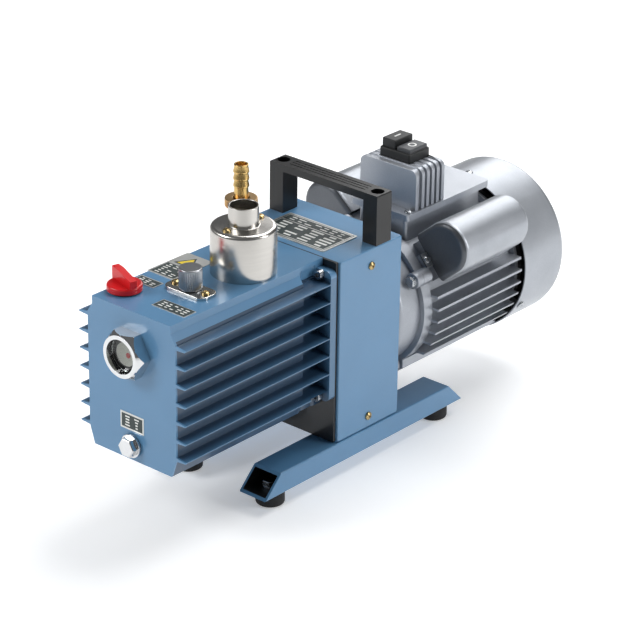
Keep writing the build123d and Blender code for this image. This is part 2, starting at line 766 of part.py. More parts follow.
drive_y = centre_y + centre_plate_t / 2
with BuildPart() as high_stage_rotor:
    add(slotted_rotor(high_y, high_stage_length))
    with BuildSketch(facing_rear(drive_y, z=shaft_z)):
        Circle(shaft_r)
    extrude(amount=high_y + side_gap - drive_y)
    with BuildSketch(facing_rear(rear_cover_y - side_gap, z=shaft_z)):
        Circle(shaft_r)
    extrude(amount=rear_cover_t + side_gap + coupling_reach)
    with BuildSketch(facing_rear(drive_y, z=shaft_z)):
        Rectangle(2 * shaft_r + 2, tongue_t + 0.2)
    extrude(amount=tongue_length + 0.1, mode=Mode.SUBTRACT)
save(high_stage_rotor, "high_stage_rotor")

with BuildPart() as low_stage_rotor:
    add(slotted_rotor(low_y, low_stage_length))
    with BuildSketch(facing_rear(front_cover_y + 1, z=shaft_z)):
        Circle(shaft_r)
    extrude(amount=front_cover_t - 1 + side_gap)
    with BuildSketch(facing_rear(centre_y - side_gap, z=shaft_z)):
        Circle(shaft_r)
    extrude(amount=drive_y - 0.1 - centre_y + side_gap)
    with BuildSketch(facing_rear(drive_y - 0.1, z=shaft_z)):
        Circle(shaft_r)
        Rectangle(2 * shaft_r, tongue_t, mode=Mode.INTERSECT)
    extrude(amount=tongue_length)
save(low_stage_rotor, "low_stage_rotor")

vane_depth = vane_tip - vane_inner
with BuildPart() as vanes:
    for start, length in ((high_y, high_stage_length), (low_y, low_stage_length)):
        for side in (-1, 1):
            with Locations((side * (vane_inner + vane_tip) / 2, start + length / 2, shaft_z)):
                Box(vane_depth, length - 4 * side_gap, vane_t)
save(vanes, "vanes")

with BuildPart() as vane_springs:
    for start, length in ((high_y, high_stage_length), (low_y, low_stage_length)):
        for share in (0.25, 0.75):
            with BuildSketch(Plane.YZ.offset(-vane_inner + 0.05)):
                with Locations((start + length * share, shaft_z)):
                    Circle(1.7)
                    Circle(1.1, mode=Mode.SUBTRACT)
            extrude(amount=2 * vane_inner - 0.1)
save(vane_springs, "vane_springs")

# ================================================================ inlet pipe, nut and hose barb
nut_base = case_top + inlet_rise
pipe_top = nut_base + 2.6
collar_t = 3.2
barb_bore_r = 5.4
with BuildPart() as inlet_port:
    with BuildSketch(Plane.XY.offset(module_top)):
        with Locations((inlet_x, inlet_y)):
            Circle(inlet_pipe_r)
            Circle(inlet_pipe_r - 3, mode=Mode.SUBTRACT)
    extrude(amount=pipe_top - module_top)
    with BuildSketch(Plane.XY.offset(case_top)):
        with Locations((inlet_x, inlet_y)):
            Circle(inlet_pipe_r + 3)
            Circle(inlet_pipe_r - 3, mode=Mode.SUBTRACT)
    extrude(amount=4)
save(inlet_port, "inlet_port")

with BuildPart() as inlet_barb:
    with BuildSketch(Plane.XZ.offset(-inlet_y)):
        with BuildLine():
            shank_r = barb_r - 0.5
            top = nut_base + nut_height + barb_length
            ridge = 6.4
            tail = [(inlet_x + barb_bore_r, top), (inlet_x + shank_r - 0.9, top)]
            for turn in range(4):
                tip = top - turn * ridge
                tail += [(inlet_x + barb_r, tip - ridge * 0.75), (inlet_x + shank_r - 0.6, tip - ridge)]
            Polyline(*tail, (inlet_x + shank_r, top - 4 * ridge), (inlet_x + shank_r, pipe_top + collar_t),
                     (inlet_x + inlet_pipe_r, pipe_top + collar_t), (inlet_x + inlet_pipe_r, pipe_top),
                     (inlet_x + barb_bore_r, pipe_top), close=True)
        make_face()
    revolve(axis=Axis((inlet_x, inlet_y, 0), (0, 0, 1)))
save(inlet_barb, "inlet_barb")

with BuildPart() as inlet_nut:
    with BuildSketch(Plane.XY.offset(nut_base)):
        with Locations((inlet_x, inlet_y)):
            Circle(nut_r)
            with PolarLocations(nut_r + 0.1, 48):
                Circle(knurl_r, mode=Mode.SUBTRACT)
    extrude(amount=nut_height)
    with BuildSketch(Plane.XY.offset(nut_base)):
        with Locations((inlet_x, inlet_y)):
            Circle(inlet_pipe_r + skin_gap)
    extrude(amount=pipe_top + collar_t + 0.05 - nut_base, mode=Mode.SUBTRACT)
    with BuildSketch(Plane.XY.offset(nut_base)):
        with Locations((inlet_x, inlet_y)):
            Circle(barb_r - 0.5 + skin_gap)
    extrude(amount=nut_height, mode=Mode.SUBTRACT)
save(inlet_nut, "inlet_nut")

# ================================================================ jaw coupling
hub_r = 27.0
hub_length = 24.0
jaw_length = 16.0
pump_hub_y = bracket_front + 11.5
motor_hub_y = pump_hub_y + hub_length + 18.0
jaw_half_angle = 22.0
pump_shaft_end = case_rear + coupling_reach


def jaw_sketch(start_angle, half_angle, inner, outer):
    """Three ring sectors a third of a turn apart."""
    with BuildSketch(Plane.XY) as jaws:
        for turn in range(3):
            middle = start_angle + 120 * turn
            low, high = radians(middle - half_angle), radians(middle + half_angle)
            far = 2 * outer
            with BuildLine():
                Polyline((0, 0), (far * cos(low), far * sin(low)), (far * cos(high), far * sin(high)),
                         close=True)
            make_face()
        Circle(outer, mode=Mode.INTERSECT)
        Circle(inner, mode=Mode.SUBTRACT)
    return jaws.sketch


with BuildPart() as coupling_halves:
    for hub_y, jaw_y, jaw_angle, bore in ((pump_hub_y, pump_hub_y + hub_length, 90, shaft_r),
                                          (motor_hub_y, motor_hub_y - jaw_length, 30, bearing_bore_r)):
        with BuildSketch(facing_rear(hub_y, z=shaft_z)):
            Circle(hub_r)
            Circle(bore + 0.02, mode=Mode.SUBTRACT)
        extrude(amount=hub_length)
        with BuildSketch(facing_rear(jaw_y, z=shaft_z)):
            add(jaw_sketch(jaw_angle, jaw_half_angle, 12, hub_r))
        extrude(amount=jaw_length)
save(coupling_halves, "coupling_halves")

with BuildPart() as coupling_spider:
    with BuildSketch(facing_rear(pump_hub_y + hub_length + 1.5, z=shaft_z)):
        Circle(hub_r - 1)
        Circle(6, mode=Mode.SUBTRACT)
        add(jaw_sketch(90, jaw_half_angle + 1.2, 11.6, 2 * hub_r), mode=Mode.SUBTRACT)
        add(jaw_sketch(30, jaw_half_angle + 1.2, 11.6, 2 * hub_r), mode=Mode.SUBTRACT)
    extrude(amount=15)
save(coupling_spider, "coupling_spider")

# ================================================================ motor: drive-end shield
shield_wall = 5.0
housing_r = bearing_r + 7
lug_turn = 30.0
lug_r = 8.0
lug_length = 9.0
lug_reach = shield_r + 6.0
ring_t = 12.0
front_bearing_y = bracket_rear + 9.0
with BuildPart() as front_shield:
    with BuildSketch(facing_rear(bracket_rear, z=shaft_z)):
        Circle(shield_r)
    extrude(amount=shield_length)
    fillet(front_shield.edges().group_by(Axis.Y)[0], 8)
    with BuildSketch(facing_rear(shield_rear - lug_length, z=shaft_z)):
        with PolarLocations(lug_reach, 4, start_angle=180 - lug_turn):
            Circle(lug_r)
    extrude(amount=lug_length)
    with BuildSketch(facing_front(shield_rear, z=shaft_z)):
        Circle(shield_r - shield_wall)
        Circle(housing_r, mode=Mode.SUBTRACT)
    extrude(amount=shield_length - shield_wall, mode=Mode.SUBTRACT)
    with BuildSketch(facing_front(shield_rear, z=shaft_z)):
        Circle(bearing_r + 0.02)
    extrude(amount=shield_rear - front_bearing_y, mode=Mode.SUBTRACT)
    with BuildSketch(facing_front(shield_rear, z=shaft_z)):
        Circle(bearing_bore_r + 3)
    extrude(amount=shield_length, mode=Mode.SUBTRACT)
    with BuildSketch(facing_front(shield_rear, z=shaft_z)):
        Circle(housing_r)
    extrude(amount=shield_rear - front_bearing_y - bearing_width, mode=Mode.SUBTRACT)
    with BuildSketch(facing_rear(shield_rear - lug_length, z=shaft_z)):
        with PolarLocations(lug_reach, 4, start_angle=180 - lug_turn):
            Circle(3 + seat_gap)
    extrude(amount=lug_length, mode=Mode.SUBTRACT)
save(front_shield, "front_shield")

# ================================================================ motor: finned frame
rear_ring_t = 4.0
rear_bolt_reach = (frame_bore_r + frame_tube_r) / 2
rear_bolt_length = 10.0
pad_half = 37.0
pad_t = 6.5
pad_neck = 30.0
foot_pad_half = 47.0
foot_pad_drop = 65.8
box_front = shield_rear + 27.5
terminal_screw_x = 31.0
terminal_screw_y = box_front - 5.5
capacitor_front = shield_rear + 21.5
cover_lug = 9.0             # screw lug beyond each end of a capacitor cover
cover_lug_width = 14.0
cover_lug_hole = 4.5        # its screw beyond the end
cover_screw_r = 2.0
cover_screw_length = 7.0
with BuildPart() as motor_frame:
    with BuildSketch(facing_rear(shield_rear, z=shaft_z)):
        Circle(frame_tube_r)
    extrude(amount=frame_length)
    for start, length in ((shield_rear, ring_t), (frame_rear - rear_ring_t, rear_ring_t)):
        with BuildSketch(facing_rear(start, z=shaft_z)):
            Circle(frame_ring_r)
        extrude(amount=length)
    with BuildSketch(facing_rear(shield_rear, z=shaft_z)):
        with PolarLocations(lug_reach, 4, start_angle=180 - lug_turn):
            Circle(lug_r)
    extrude(amount=ring_t)
    # level fins, their tips on a circle
    with BuildSketch(facing_rear(shield_rear + ring_t, z=shaft_z)):
        for row in range(frame_fin_count):
            with Locations((0, frame_fin_top - row * frame_fin_pitch)):
                Rectangle(2 * frame_fin_r, frame_fin_t)
        Circle(frame_fin_r, mode=Mode.INTERSECT)
    extrude(amount=frame_length - ring_t - rear_ring_t)
    # flat pad underneath
    with BuildSketch(facing_rear(shield_rear, z=shaft_z)):
        with Locations((0, -foot_pad_drop + 5)):
            RectangleRounded(2 * foot_pad_half, 10, 1)
    extrude(amount=frame_length)
    # neck and seat of the terminal box
    with BuildSketch(Plane.XY.offset(shaft_z)):
        with Locations((0, shield_rear + 78)):
            RectangleRounded(2 * pad_neck, 116, 4)
    extrude(amount=pad_rise)
    with BuildSketch(Plane.XY.offset(shaft_z + pad_rise - pad_t)):
        with Locations((0, shield_rear + 78)):
            RectangleRounded(2 * pad_half, 128, 5)
    extrude(amount=pad_t)
    # slanted seats of the capacitor covers
    for side in (-1, 1):
        seat = Plane(origin=(0, 0, shaft_z), x_dir=(0, 1, 0),
                     z_dir=(side * cos(radians(capacitor_angle)), 0, sin(radians(capacitor_angle))))
        with BuildSketch(seat):
            with Locations((capacitor_front + capacitor_length / 2, 0)):
                Rectangle(capacitor_length - 8, 2 * capacitor_r - 12)
                Rectangle(capacitor_length + 2 * cover_lug, cover_lug_width)
        extrude(amount=base_reach)
        with BuildSketch(seat.offset(base_reach)):
            with Locations((capacitor_front - cover_lug_hole, 0),
                           (capacitor_front + capacitor_length + cover_lug_hole, 0)):
                Circle(cover_screw_r + seat_gap)
        extrude(amount=-cover_screw_length, mode=Mode.SUBTRACT)
    with BuildSketch(facing_rear(shield_rear, z=shaft_z)):
        Circle(frame_bore_r)
    extrude(amount=frame_length, mode=Mode.SUBTRACT)
    with BuildSketch(facing_rear(shield_rear, z=shaft_z)):
        with PolarLocations(lug_reach, 4, start_angle=180 - lug_turn):
            Circle(3 + seat_gap)
    extrude(amount=ring_t, mode=Mode.SUBTRACT)
    with BuildSketch(facing_front(frame_rear, z=shaft_z)):
        with PolarLocations(rear_bolt_reach, 4, start_angle=45):
            Circle(2 + seat_gap)
    extrude(amount=rear_bolt_length, mode=Mode.SUBTRACT)
    with Locations(Plane.XY.offset(shaft_z + pad_rise)):
        with Locations((0, box_front + terminal_depth / 2)):
            Hole(9, pad_rise)
        with Locations((-terminal_screw_x, terminal_screw_y), (terminal_screw_x, terminal_screw_y)):
            Hole(cover_screw_r + seat_gap, cover_screw_length)
save(motor_frame, "motor_frame")

# ================================================================ motor: rear shield
rear_shield_t = 15.0
rear_disc_t = 6.0
rear_bearing_y = frame_rear - 3.0
cowl_lugs = (90.0, 210.0, 330.0)
cowl_screw_y = frame_rear + 8.0
with BuildPart() as rear_shield:
    with BuildSketch(facing_rear(frame_rear, z=shaft_z)):
        Circle(frame_ring_r)
    extrude(amount=rear_disc_t)
    with BuildSketch(facing_rear(frame_rear - 3, z=shaft_z)):
        Circle(housing_r)
    extrude(amount=rear_shield_t)
    # lugs that carry the fan cowl
    for angle in cowl_lugs:
        lug = Plane(origin=(0, cowl_screw_y, shaft_z), x_dir=(0, 1, 0),
                    z_dir=(cos(radians(angle)), 0, sin(radians(angle))))
        with BuildSketch(lug.offset(frame_ring_r - 6)):
            Rectangle(12, 12)
        extrude(amount=cowl_r - cowl_wall - frame_ring_r + 6 - 0.5)
        with BuildSketch(lug.offset(frame_ring_r)):
            Circle(2.1)
        extrude(amount=cowl_r - frame_ring_r, mode=Mode.SUBTRACT)
    with BuildSketch(facing_rear(frame_rear - 3, z=shaft_z)):
        Circle(bearing_r + 0.02)
    extrude(amount=bearing_width, mode=Mode.SUBTRACT)
    with BuildSketch(facing_rear(frame_rear - 3, z=shaft_z)):
        Circle(bearing_bore_r + 3)
    extrude(amount=rear_shield_t, mode=Mode.SUBTRACT)
    with BuildSketch(facing_rear(frame_rear, z=shaft_z)):
        with PolarLocations(rear_bolt_reach, 4, start_angle=45):
            Circle(2 + seat_gap)
    extrude(amount=rear_disc_t, mode=Mode.SUBTRACT)
save(rear_shield, "rear_shield")

front_bolt = hex_bolt(3.0, lug_length + ring_t)
rear_bolt = hex_bolt(2.0, rear_disc_t + rear_bolt_length)
with BuildPart() as shield_bolts:
    with Locations(facing_front(shield_rear - lug_length, z=shaft_z)):
        with PolarLocations(lug_reach, 4, start_angle=lug_turn):
            add(front_bolt)
    with Locations(facing_rear(frame_rear + rear_disc_t, z=shaft_z)):
        with PolarLocations(rear_bolt_reach, 4, start_angle=45):
            add(rear_bolt)
save(shield_bolts, "shield_bolts")

# ================================================================ motor: bearings
def bearing_ring(y, inner, outer):
    """One ring of a deep-groove bearing, its race facing the balls."""
    with BuildPart() as ring:
        with BuildSketch(Plane.YZ):
            with Locations((y + bearing_width / 2, shaft_z + (inner + outer) / 2)):
                Rectangle(bearing_width, outer - inner)
            with Locations((y + bearing_width / 2, shaft_z + ball_pitch_r)):
                Circle(ball_r + run_gap, mode=Mode.SUBTRACT)
        revolve(axis=shaft)
    return ring.part


bearing_starts = (front_bearing_y, rear_bearing_y)
with BuildPart() as bearing_outer_rings:
    for start in bearing_starts:
        add(bearing_ring(start, ball_pitch_r + 2.6, bearing_r))
save(bearing_outer_rings, "bearing_outer_rings")

with BuildPart() as bearing_inner_rings:
    for start in bearing_starts:
        add(bearing_ring(start, bearing_bore_r + 0.02, ball_pitch_r - 2.6))
save(bearing_inner_rings, "bearing_inner_rings")

with BuildPart() as bearing_balls:
    for start in bearing_starts:
        with Locations(facing_rear(start + bearing_width / 2, z=shaft_z)):
            with PolarLocations(ball_pitch_r, ball_count):
                Sphere(ball_r)
save(bearing_balls, "bearing_balls")

# ================================================================ motor: stator, windings and rotor
core_front = shield_rear + (frame_length - core_length) / 2
slot_count = 24
with BuildPart() as stator_core:
    with BuildSketch(facing_rear(core_front, z=shaft_z)):
        Circle(frame_bore_r - 0.05)
        Circle(core_bore_r, mode=Mode.SUBTRACT)
        with PolarLocations(core_bore_r + 8, slot_count):
            SlotCenterToCenter(8, 4, mode=Mode.SUBTRACT)
    extrude(amount=core_length)
save(stator_core, "stator_core")

end_turn = 18.0
with BuildPart() as stator_windings:
    with BuildSketch(facing_rear(core_front - 0.2, z=shaft_z)):
        Circle(core_bore_r + 16)
        Circle(core_bore_r + 2, mode=Mode.SUBTRACT)
    extrude(amount=-end_turn)
    with BuildSketch(facing_rear(core_front + core_length + 0.2, z=shaft_z)):
        Circle(core_bore_r + 16)
        Circle(core_bore_r + 2, mode=Mode.SUBTRACT)
    extrude(amount=end_turn)
    fillet(stator_windings.edges().group_by(Axis.Y)[0] + stator_windings.edges().group_by(Axis.Y)[-1], 4)
    with BuildSketch(facing_rear(core_front - 0.3, z=shaft_z)):
        with PolarLocations(core_bore_r + 8, slot_count):
            SlotCenterToCenter(8, 3.6)
    extrude(amount=core_length + 0.6)
save(stator_windings, "stator_windings")

rotor_body_r = core_bore_r - rotor_gap
motor_shaft_r = 12.0
motor_shaft_front = motor_hub_y + 1
motor_shaft_rear = cowl_rear - 14
with BuildPart() as motor_rotor:
    with BuildSketch(facing_rear(core_front, z=shaft_z)):
        Circle(rotor_body_r)
    extrude(amount=core_length)
    with BuildSketch(facing_rear(core_front - 6, z=shaft_z)):
        Circle(rotor_body_r - 1)
        Circle(rotor_body_r - 9, mode=Mode.SUBTRACT)
    extrude(amount=core_length + 12)
    with BuildSketch(facing_rear(front_bearing_y + bearing_width, z=shaft_z)):
        Circle(motor_shaft_r)
    extrude(amount=rear_bearing_y - front_bearing_y - bearing_width)
    with BuildSketch(facing_rear(motor_shaft_front, z=shaft_z)):
        Circle(bearing_bore_r)
    extrude(amount=motor_shaft_rear - motor_shaft_front)
save(motor_rotor, "motor_rotor")

# ================================================================ motor: fan and cowl
fan_front = frame_rear + 22.0
fan_r = 72.0
fan_depth = 26.0
blade_count = 7
with BuildPart() as cooling_fan:
    with BuildSketch(facing_rear(fan_front, z=shaft_z)):
        Circle(fan_r)
    extrude(amount=2.5)
    with BuildSketch(facing_rear(fan_front, z=shaft_z)):
        Circle(17)
        with PolarLocations(0, blade_count):
            with Locations(((fan_r + 14) / 2, 0)):
                Rectangle(fan_r - 16, 2.2)
    extrude(amount=fan_depth)
    with BuildSketch(facing_rear(fan_front, z=shaft_z)):
        Circle(bearing_bore_r + 0.02)
    extrude(amount=fan_depth, mode=Mode.SUBTRACT)
save(cooling_fan, "cooling_fan")

cowl_round = 10.0
vent_w = 5.0
vent_bridge = 7.0           # metal left between the ends of two slots
vent_count = {22.0: 4, 33.0: 6, 44.0: 8, 55.0: 10, 66.0: 12}
vents = []
for ring, slots in vent_count.items():
    sweep_angle = 360 / slots - degrees((vent_bridge + vent_w) / ring)
    vents.append((ring, CenterArc((0, 0), ring, -sweep_angle / 2, sweep_angle)))
with BuildPart() as fan_cowl:
    with BuildSketch(facing_rear(frame_rear, z=shaft_z)):
        Circle(cowl_r)
    extrude(amount=cowl_length)
    fillet(fan_cowl.edges().group_by(Axis.Y)[-1], cowl_round)
    offset(amount=-cowl_wall, openings=fan_cowl.faces().sort_by(Axis.Y)[0])
    # rings of curved air slots in the rear face
    with BuildSketch(facing_rear(cowl_rear - cowl_wall - 1, z=shaft_z)):
        for ring, spine in vents:
            with PolarLocations(0, vent_count[ring]):
                SlotArc(spine, vent_w)
    extrude(amount=cowl_wall + 2, mode=Mode.SUBTRACT)
    for angle in cowl_lugs:
        with Locations(Plane(origin=(0, cowl_screw_y, shaft_z),
                             z_dir=(cos(radians(angle)), 0, sin(radians(angle)))).offset(cowl_r)):
            Hole(2.1, 3)
save(fan_cowl, "fan_cowl")

# ================================================================ capacitors and their covers
cover_wall = 1.5
cover_round = 6.0
capacitor_seat_depth = capacitor_reach - base_reach


def capacitor_plane(side):
    """Plane across the capacitor at its front end: local Y points away from the shaft."""
    turn = radians(capacitor_angle)
    centre = (side * capacitor_reach * cos(turn), capacitor_front, shaft_z + capacitor_reach * sin(turn))
    outwards = (side * cos(turn), 0, sin(turn))
    return Plane(origin=centre, x_dir=(-outwards[2], 0, outwards[0]), z_dir=(0, 1, 0))


def rounded_trunk(place, r, seat_y, length, end_r):
    """Trunk with a round outer side, a flat seat at local seat_y and rounded ends."""
    with BuildPart() as trunk:
        with BuildSketch(place):
            Circle(r)
            with Locations((0, seat_y / 2)):
                Rectangle(2 * r, -seat_y)
            with Locations((0, seat_y - r)):
                Rectangle(2 * r, 2 * r, mode=Mode.SUBTRACT)
        extrude(amount=length)
        away = Axis(place.origin, place.y_dir)
        for end in (trunk.faces().sort_by(Axis.Y)[0], trunk.faces().sort_by(Axis.Y)[-1]):
            fillet(end.edges().sort_by(away)[1:], end_r)
    return trunk.part


def capacitor_cover(place):
    """One sheet-metal cover, open towards the frame, with a screw lug at its front and rear."""
    seat_y = skin_gap - capacitor_seat_depth
    with BuildPart() as cover:
        add(rounded_trunk(place, capacitor_r, seat_y, capacitor_length, cover_round))
        add(rounded_trunk(place.offset(cover_wall), capacitor_r - cover_wall, seat_y - 1,
                          capacitor_length - 2 * cover_wall, cover_round - cover_wall), mode=Mode.SUBTRACT)
        seat = Plane(origin=place.origin + place.y_dir * seat_y, x_dir=place.z_dir, z_dir=place.y_dir)
        with BuildSketch(seat):
            with Locations((capacitor_length / 2, 0)):
                Rectangle(capacitor_length + 2 * cover_lug, cover_lug_width)
                Rectangle(capacitor_length - 2 * cover_wall, cover_lug_width, mode=Mode.SUBTRACT)
        extrude(amount=cover_wall)
        with BuildSketch(seat):
            with Locations((-cover_lug_hole, 0), (capacitor_length + cover_lug_hole, 0)):
                Circle(cover_screw_r + seat_gap)
        extrude(amount=cover_wall, mode=Mode.SUBTRACT)
    return cover.part


with BuildPart() as capacitor_covers:
    for side in (-1, 1):
        add(capacitor_cover(capacitor_plane(side)))
save(capacitor_covers, "capacitor_covers")

can_r = 21.0
with BuildPart() as capacitors:
    for side in (-1, 1):
        with BuildSketch(capacitor_plane(side).offset(8)):
            with Locations((0, can_r - capacitor_seat_depth)):
                Circle(can_r)
        extrude(amount=capacitor_length - 16)
        with BuildSketch(capacitor_plane(side).offset(capacitor_length - 8)):
            with Locations((-6, can_r - capacitor_seat_depth), (6, can_r - capacitor_seat_depth)):
                Circle(3)
        extrude(amount=5)
save(capacitors, "capacitors")

# ================================================================ terminal box, gland and switch
terminal_base = shaft_z + pad_rise
terminal_top = terminal_base + terminal_height
terminal_wall = 3.0
rib_depth = 3.0
rib_t = 4.4
rib_count = 5
front_block = 6.0
box_y = box_front + terminal_depth / 2
gland_r = 8.0
gland_z = terminal_base + 19.0
switch_length = 38.0
switch_width = 31.0
switch_height = 10.0
switch_x = -2.0
switch_y = box_front + 27.0
plunger_r = 3.0
rib_pitch = (terminal_depth - front_block) / rib_count


def box_section(width, height, corner):
    """Section of the terminal box across the shaft, its upper corners rounded."""
    with BuildSketch(Plane.XY) as section:
        with Locations((0, height / 2)):
            Rectangle(width, height)
        fillet(section.vertices().group_by(Axis.Y)[-1], corner)
    return section.sketch


core_half = terminal_width / 2 - rib_depth
box_spans = [(box_front, front_block - 1.5)]
for row in range(1, rib_count + 1):
    box_spans.append((box_front + front_block + rib_pitch * row - rib_t, rib_t))
with BuildPart() as terminal_box:
    with BuildSketch(facing_rear(box_front + 0.5, z=terminal_base)):
        add(box_section(2 * core_half, terminal_height - 1, 5))
    extrude(amount=terminal_depth - 1)
    # full-width front block and ribs down both sides
    for start, t in box_spans:
        with BuildSketch(facing_rear(start, z=terminal_base)):
            add(box_section(terminal_width, terminal_height, 7))
        extrude(amount=t)
    with BuildSketch(Plane.XY.offset(terminal_base)):
        with Locations((0, box_y)):
            RectangleRounded(2 * (core_half - terminal_wall), terminal_depth - 2 * terminal_wall, 2)
    extrude(amount=terminal_height - terminal_wall - 1, mode=Mode.SUBTRACT)
    # flat seat for the switch
    with BuildSketch(Plane.XY.offset(terminal_top - 1)):
        with Locations((switch_x, switch_y)):
            Rectangle(switch_length + 1, switch_width + 1)
    extrude(amount=2, mode=Mode.SUBTRACT)
    with Locations(Plane.XY.offset(terminal_top - 1)):
        with Locations((switch_x - switch_length / 4, switch_y), (switch_x + switch_length / 4, switch_y)):
            Hole(plunger_r + 2, terminal_wall)
    with Locations(facing_rear(box_front + terminal_depth, z=gland_z)):
        Hole(gland_r + seat_gap, terminal_wall)
save(terminal_box, "terminal_box")

with BuildPart() as cable_gland:
    with BuildSketch(facing_rear(box_front + terminal_depth, z=gland_z)):
        RegularPolygon(gland_r + 3, 6, major_radius=False)
    extrude(amount=5)
    with BuildSketch(facing_rear(box_front + terminal_depth + 5, z=gland_z)):
        Circle(gland_r + 2.4)
    extrude(amount=13)
    fillet(cable_gland.edges().group_by(Axis.Y)[-1], 4)
    with BuildSketch(facing_front(box_front + terminal_depth, z=gland_z)):
        Circle(gland_r)
    extrude(amount=terminal_wall + 3)
    with BuildSketch(facing_front(box_front + terminal_depth + 18, z=gland_z)):
        Circle(4.5)
    extrude(amount=30, mode=Mode.SUBTRACT)
save(cable_gland, "cable_gland")

switch_base = terminal_top - 1
switch_top = switch_base + switch_height
button_length = switch_length / 2 - 2.5
button_width = switch_width - 4
button_sink = 5.0
button_travel = 3.0
on_rise = 9.0
off_rise = 4.0
button_x = {"on": switch_x - switch_length / 4 + 0.3, "off": switch_x + switch_length / 4 - 0.3}
with BuildPart() as switch_body:
    with BuildSketch(Plane.XY.offset(switch_base)):
        with Locations((switch_x, switch_y)):
            RectangleRounded(switch_length, switch_width, 2)
    extrude(amount=switch_height)
    chamfer(switch_body.edges().group_by(Axis.Z)[-1], 1)
    for x in button_x.values():
        with BuildSketch(Plane.XY.offset(switch_top)):
            with Locations((x, switch_y)):
                RectangleRounded(button_length + 2 * skin_gap, button_width + 2 * skin_gap, 1)
        extrude(amount=-button_sink - button_travel - 0.3, mode=Mode.SUBTRACT)
        # guide hole of the plunger, and the contact block inside the box
        with BuildSketch(Plane.XY.offset(switch_base - 18)):
            with Locations((x, switch_y)):
                Circle(plunger_r + 1.5)
                Circle(plunger_r + skin_gap, mode=Mode.SUBTRACT)
        extrude(amount=18)
        with BuildSketch(Plane.XY.offset(switch_base)):
            with Locations((x, switch_y)):
                Circle(plunger_r + skin_gap)
        extrude(amount=switch_height, mode=Mode.SUBTRACT)
save(switch_body, "switch_body")


def push_button(x, rise):
    """Square button on its plunger, standing rise above the switch's top."""
    with BuildPart() as button:
        with BuildSketch(Plane.XY.offset(switch_top - button_sink)):
            with Locations((x, switch_y)):
                RectangleRounded(button_length, button_width, 1)
        extrude(amount=button_sink + rise)
        chamfer(button.edges().group_by(Axis.Z)[-1], 0.8)
        with BuildSketch(Plane.XY.offset(switch_top - button_sink)):
            with Locations((x, switch_y)):
                Circle(plunger_r)
        extrude(amount=-12)
    return button.part


with BuildPart() as button_on:
    add(push_button(button_x["on"], on_rise))
save(button_on, "button_on")

with BuildPart() as button_off:
    add(push_button(button_x["off"], off_rise))
save(button_off, "button_off")

# ================================================================ brass and zinc screws
exhaust_screw = pan_screw(2.0, exhaust_height)
plate_screw = pan_screw(2.0, ballast_plate_t + 3)
cover_screw = pan_screw(2.0, 10)
with BuildPart() as brass_screws:
    with Locations((exhaust_x, exhaust_y - exhaust_screw_reach, exhaust_top),
                   (exhaust_x, exhaust_y + exhaust_screw_reach, exhaust_top)):
        add(exhaust_screw)
    with Locations((knob_x - ballast_screw_reach, knob_y, case_top + ballast_plate_t),
                   (knob_x + ballast_screw_reach, knob_y, case_top + ballast_plate_t)):
        add(plate_screw)
    cover_face_x = bracket_width / 2 + side_cover_t
    with Locations(*[Location((side * cover_face_x, cover_screw_y, height), (0, side * 90, 0))
                     for side in (-1, 1) for height in cover_screw_heights]):
        add(cover_screw)
save(brass_screws, "brass_screws")

small_screw = pan_screw(cover_screw_r, cover_screw_length)
with BuildPart() as motor_screws:
    for angle in cowl_lugs:
        with Locations(Plane(origin=(0, cowl_screw_y, shaft_z),
                             z_dir=(cos(radians(angle)), 0, sin(radians(angle)))).offset(cowl_r)):
            add(small_screw)
    for side in (-1, 1):
        place = capacitor_plane(side)
        seat = place.origin - place.y_dir * (capacitor_seat_depth - skin_gap - cover_wall)
        with Locations(*[Plane(origin=seat + place.z_dir * along, x_dir=place.z_dir, z_dir=place.y_dir)
                         for along in (-cover_lug_hole, capacitor_length + cover_lug_hole)]):
            add(small_screw)
    with Locations((-terminal_screw_x, terminal_screw_y, terminal_base),
                   (terminal_screw_x, terminal_screw_y, terminal_base)):
        add(small_screw)
save(motor_screws, "motor_screws")

# ================================================================ plates without lettering
label_t = 0.4
plate_t = 0.8
case_label_spots = ((-32.6, 55, 27.8, 14), (-34, 100, 33, 54), (25, 29.5, 40, 16))
with BuildPart() as label_plates:
    with BuildSketch(Plane.XY.offset(case_top)):
        for x, y, length, width in case_label_spots:
            with Locations((x, case_front + y)):
                Rectangle(length, width)
    extrude(amount=label_t)
    with BuildSketch(facing_front(case_front, z=plug_z + 22.9)):
        Rectangle(29.3, 16.8)
    extrude(amount=label_t)
    with BuildSketch(Plane.XY.offset(bracket_top)):
        with Locations((-2.5, bracket_front + 32.5)):
            RectangleRounded(85, 50, 2)
    extrude(amount=plate_t)
save(label_plates, "label_plates")
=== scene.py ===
from math import cos, pi, radians, sin, tau

import bmesh
import bpy
from mathutils import Matrix, Vector


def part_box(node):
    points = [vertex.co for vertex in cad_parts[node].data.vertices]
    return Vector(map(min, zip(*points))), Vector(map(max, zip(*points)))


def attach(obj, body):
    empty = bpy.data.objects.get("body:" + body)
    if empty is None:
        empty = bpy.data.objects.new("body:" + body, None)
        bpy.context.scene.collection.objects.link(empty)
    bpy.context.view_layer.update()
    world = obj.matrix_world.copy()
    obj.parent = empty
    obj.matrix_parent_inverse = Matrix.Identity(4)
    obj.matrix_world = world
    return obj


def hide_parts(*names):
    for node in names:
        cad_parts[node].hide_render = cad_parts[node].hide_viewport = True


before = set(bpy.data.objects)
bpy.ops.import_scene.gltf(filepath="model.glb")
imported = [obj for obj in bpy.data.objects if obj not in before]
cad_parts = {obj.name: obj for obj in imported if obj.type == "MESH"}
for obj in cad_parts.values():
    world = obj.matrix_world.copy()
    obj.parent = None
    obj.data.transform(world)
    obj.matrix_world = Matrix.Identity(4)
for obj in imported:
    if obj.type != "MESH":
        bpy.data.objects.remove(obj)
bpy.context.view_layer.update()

scene = bpy.context.scene
mm = 0.001

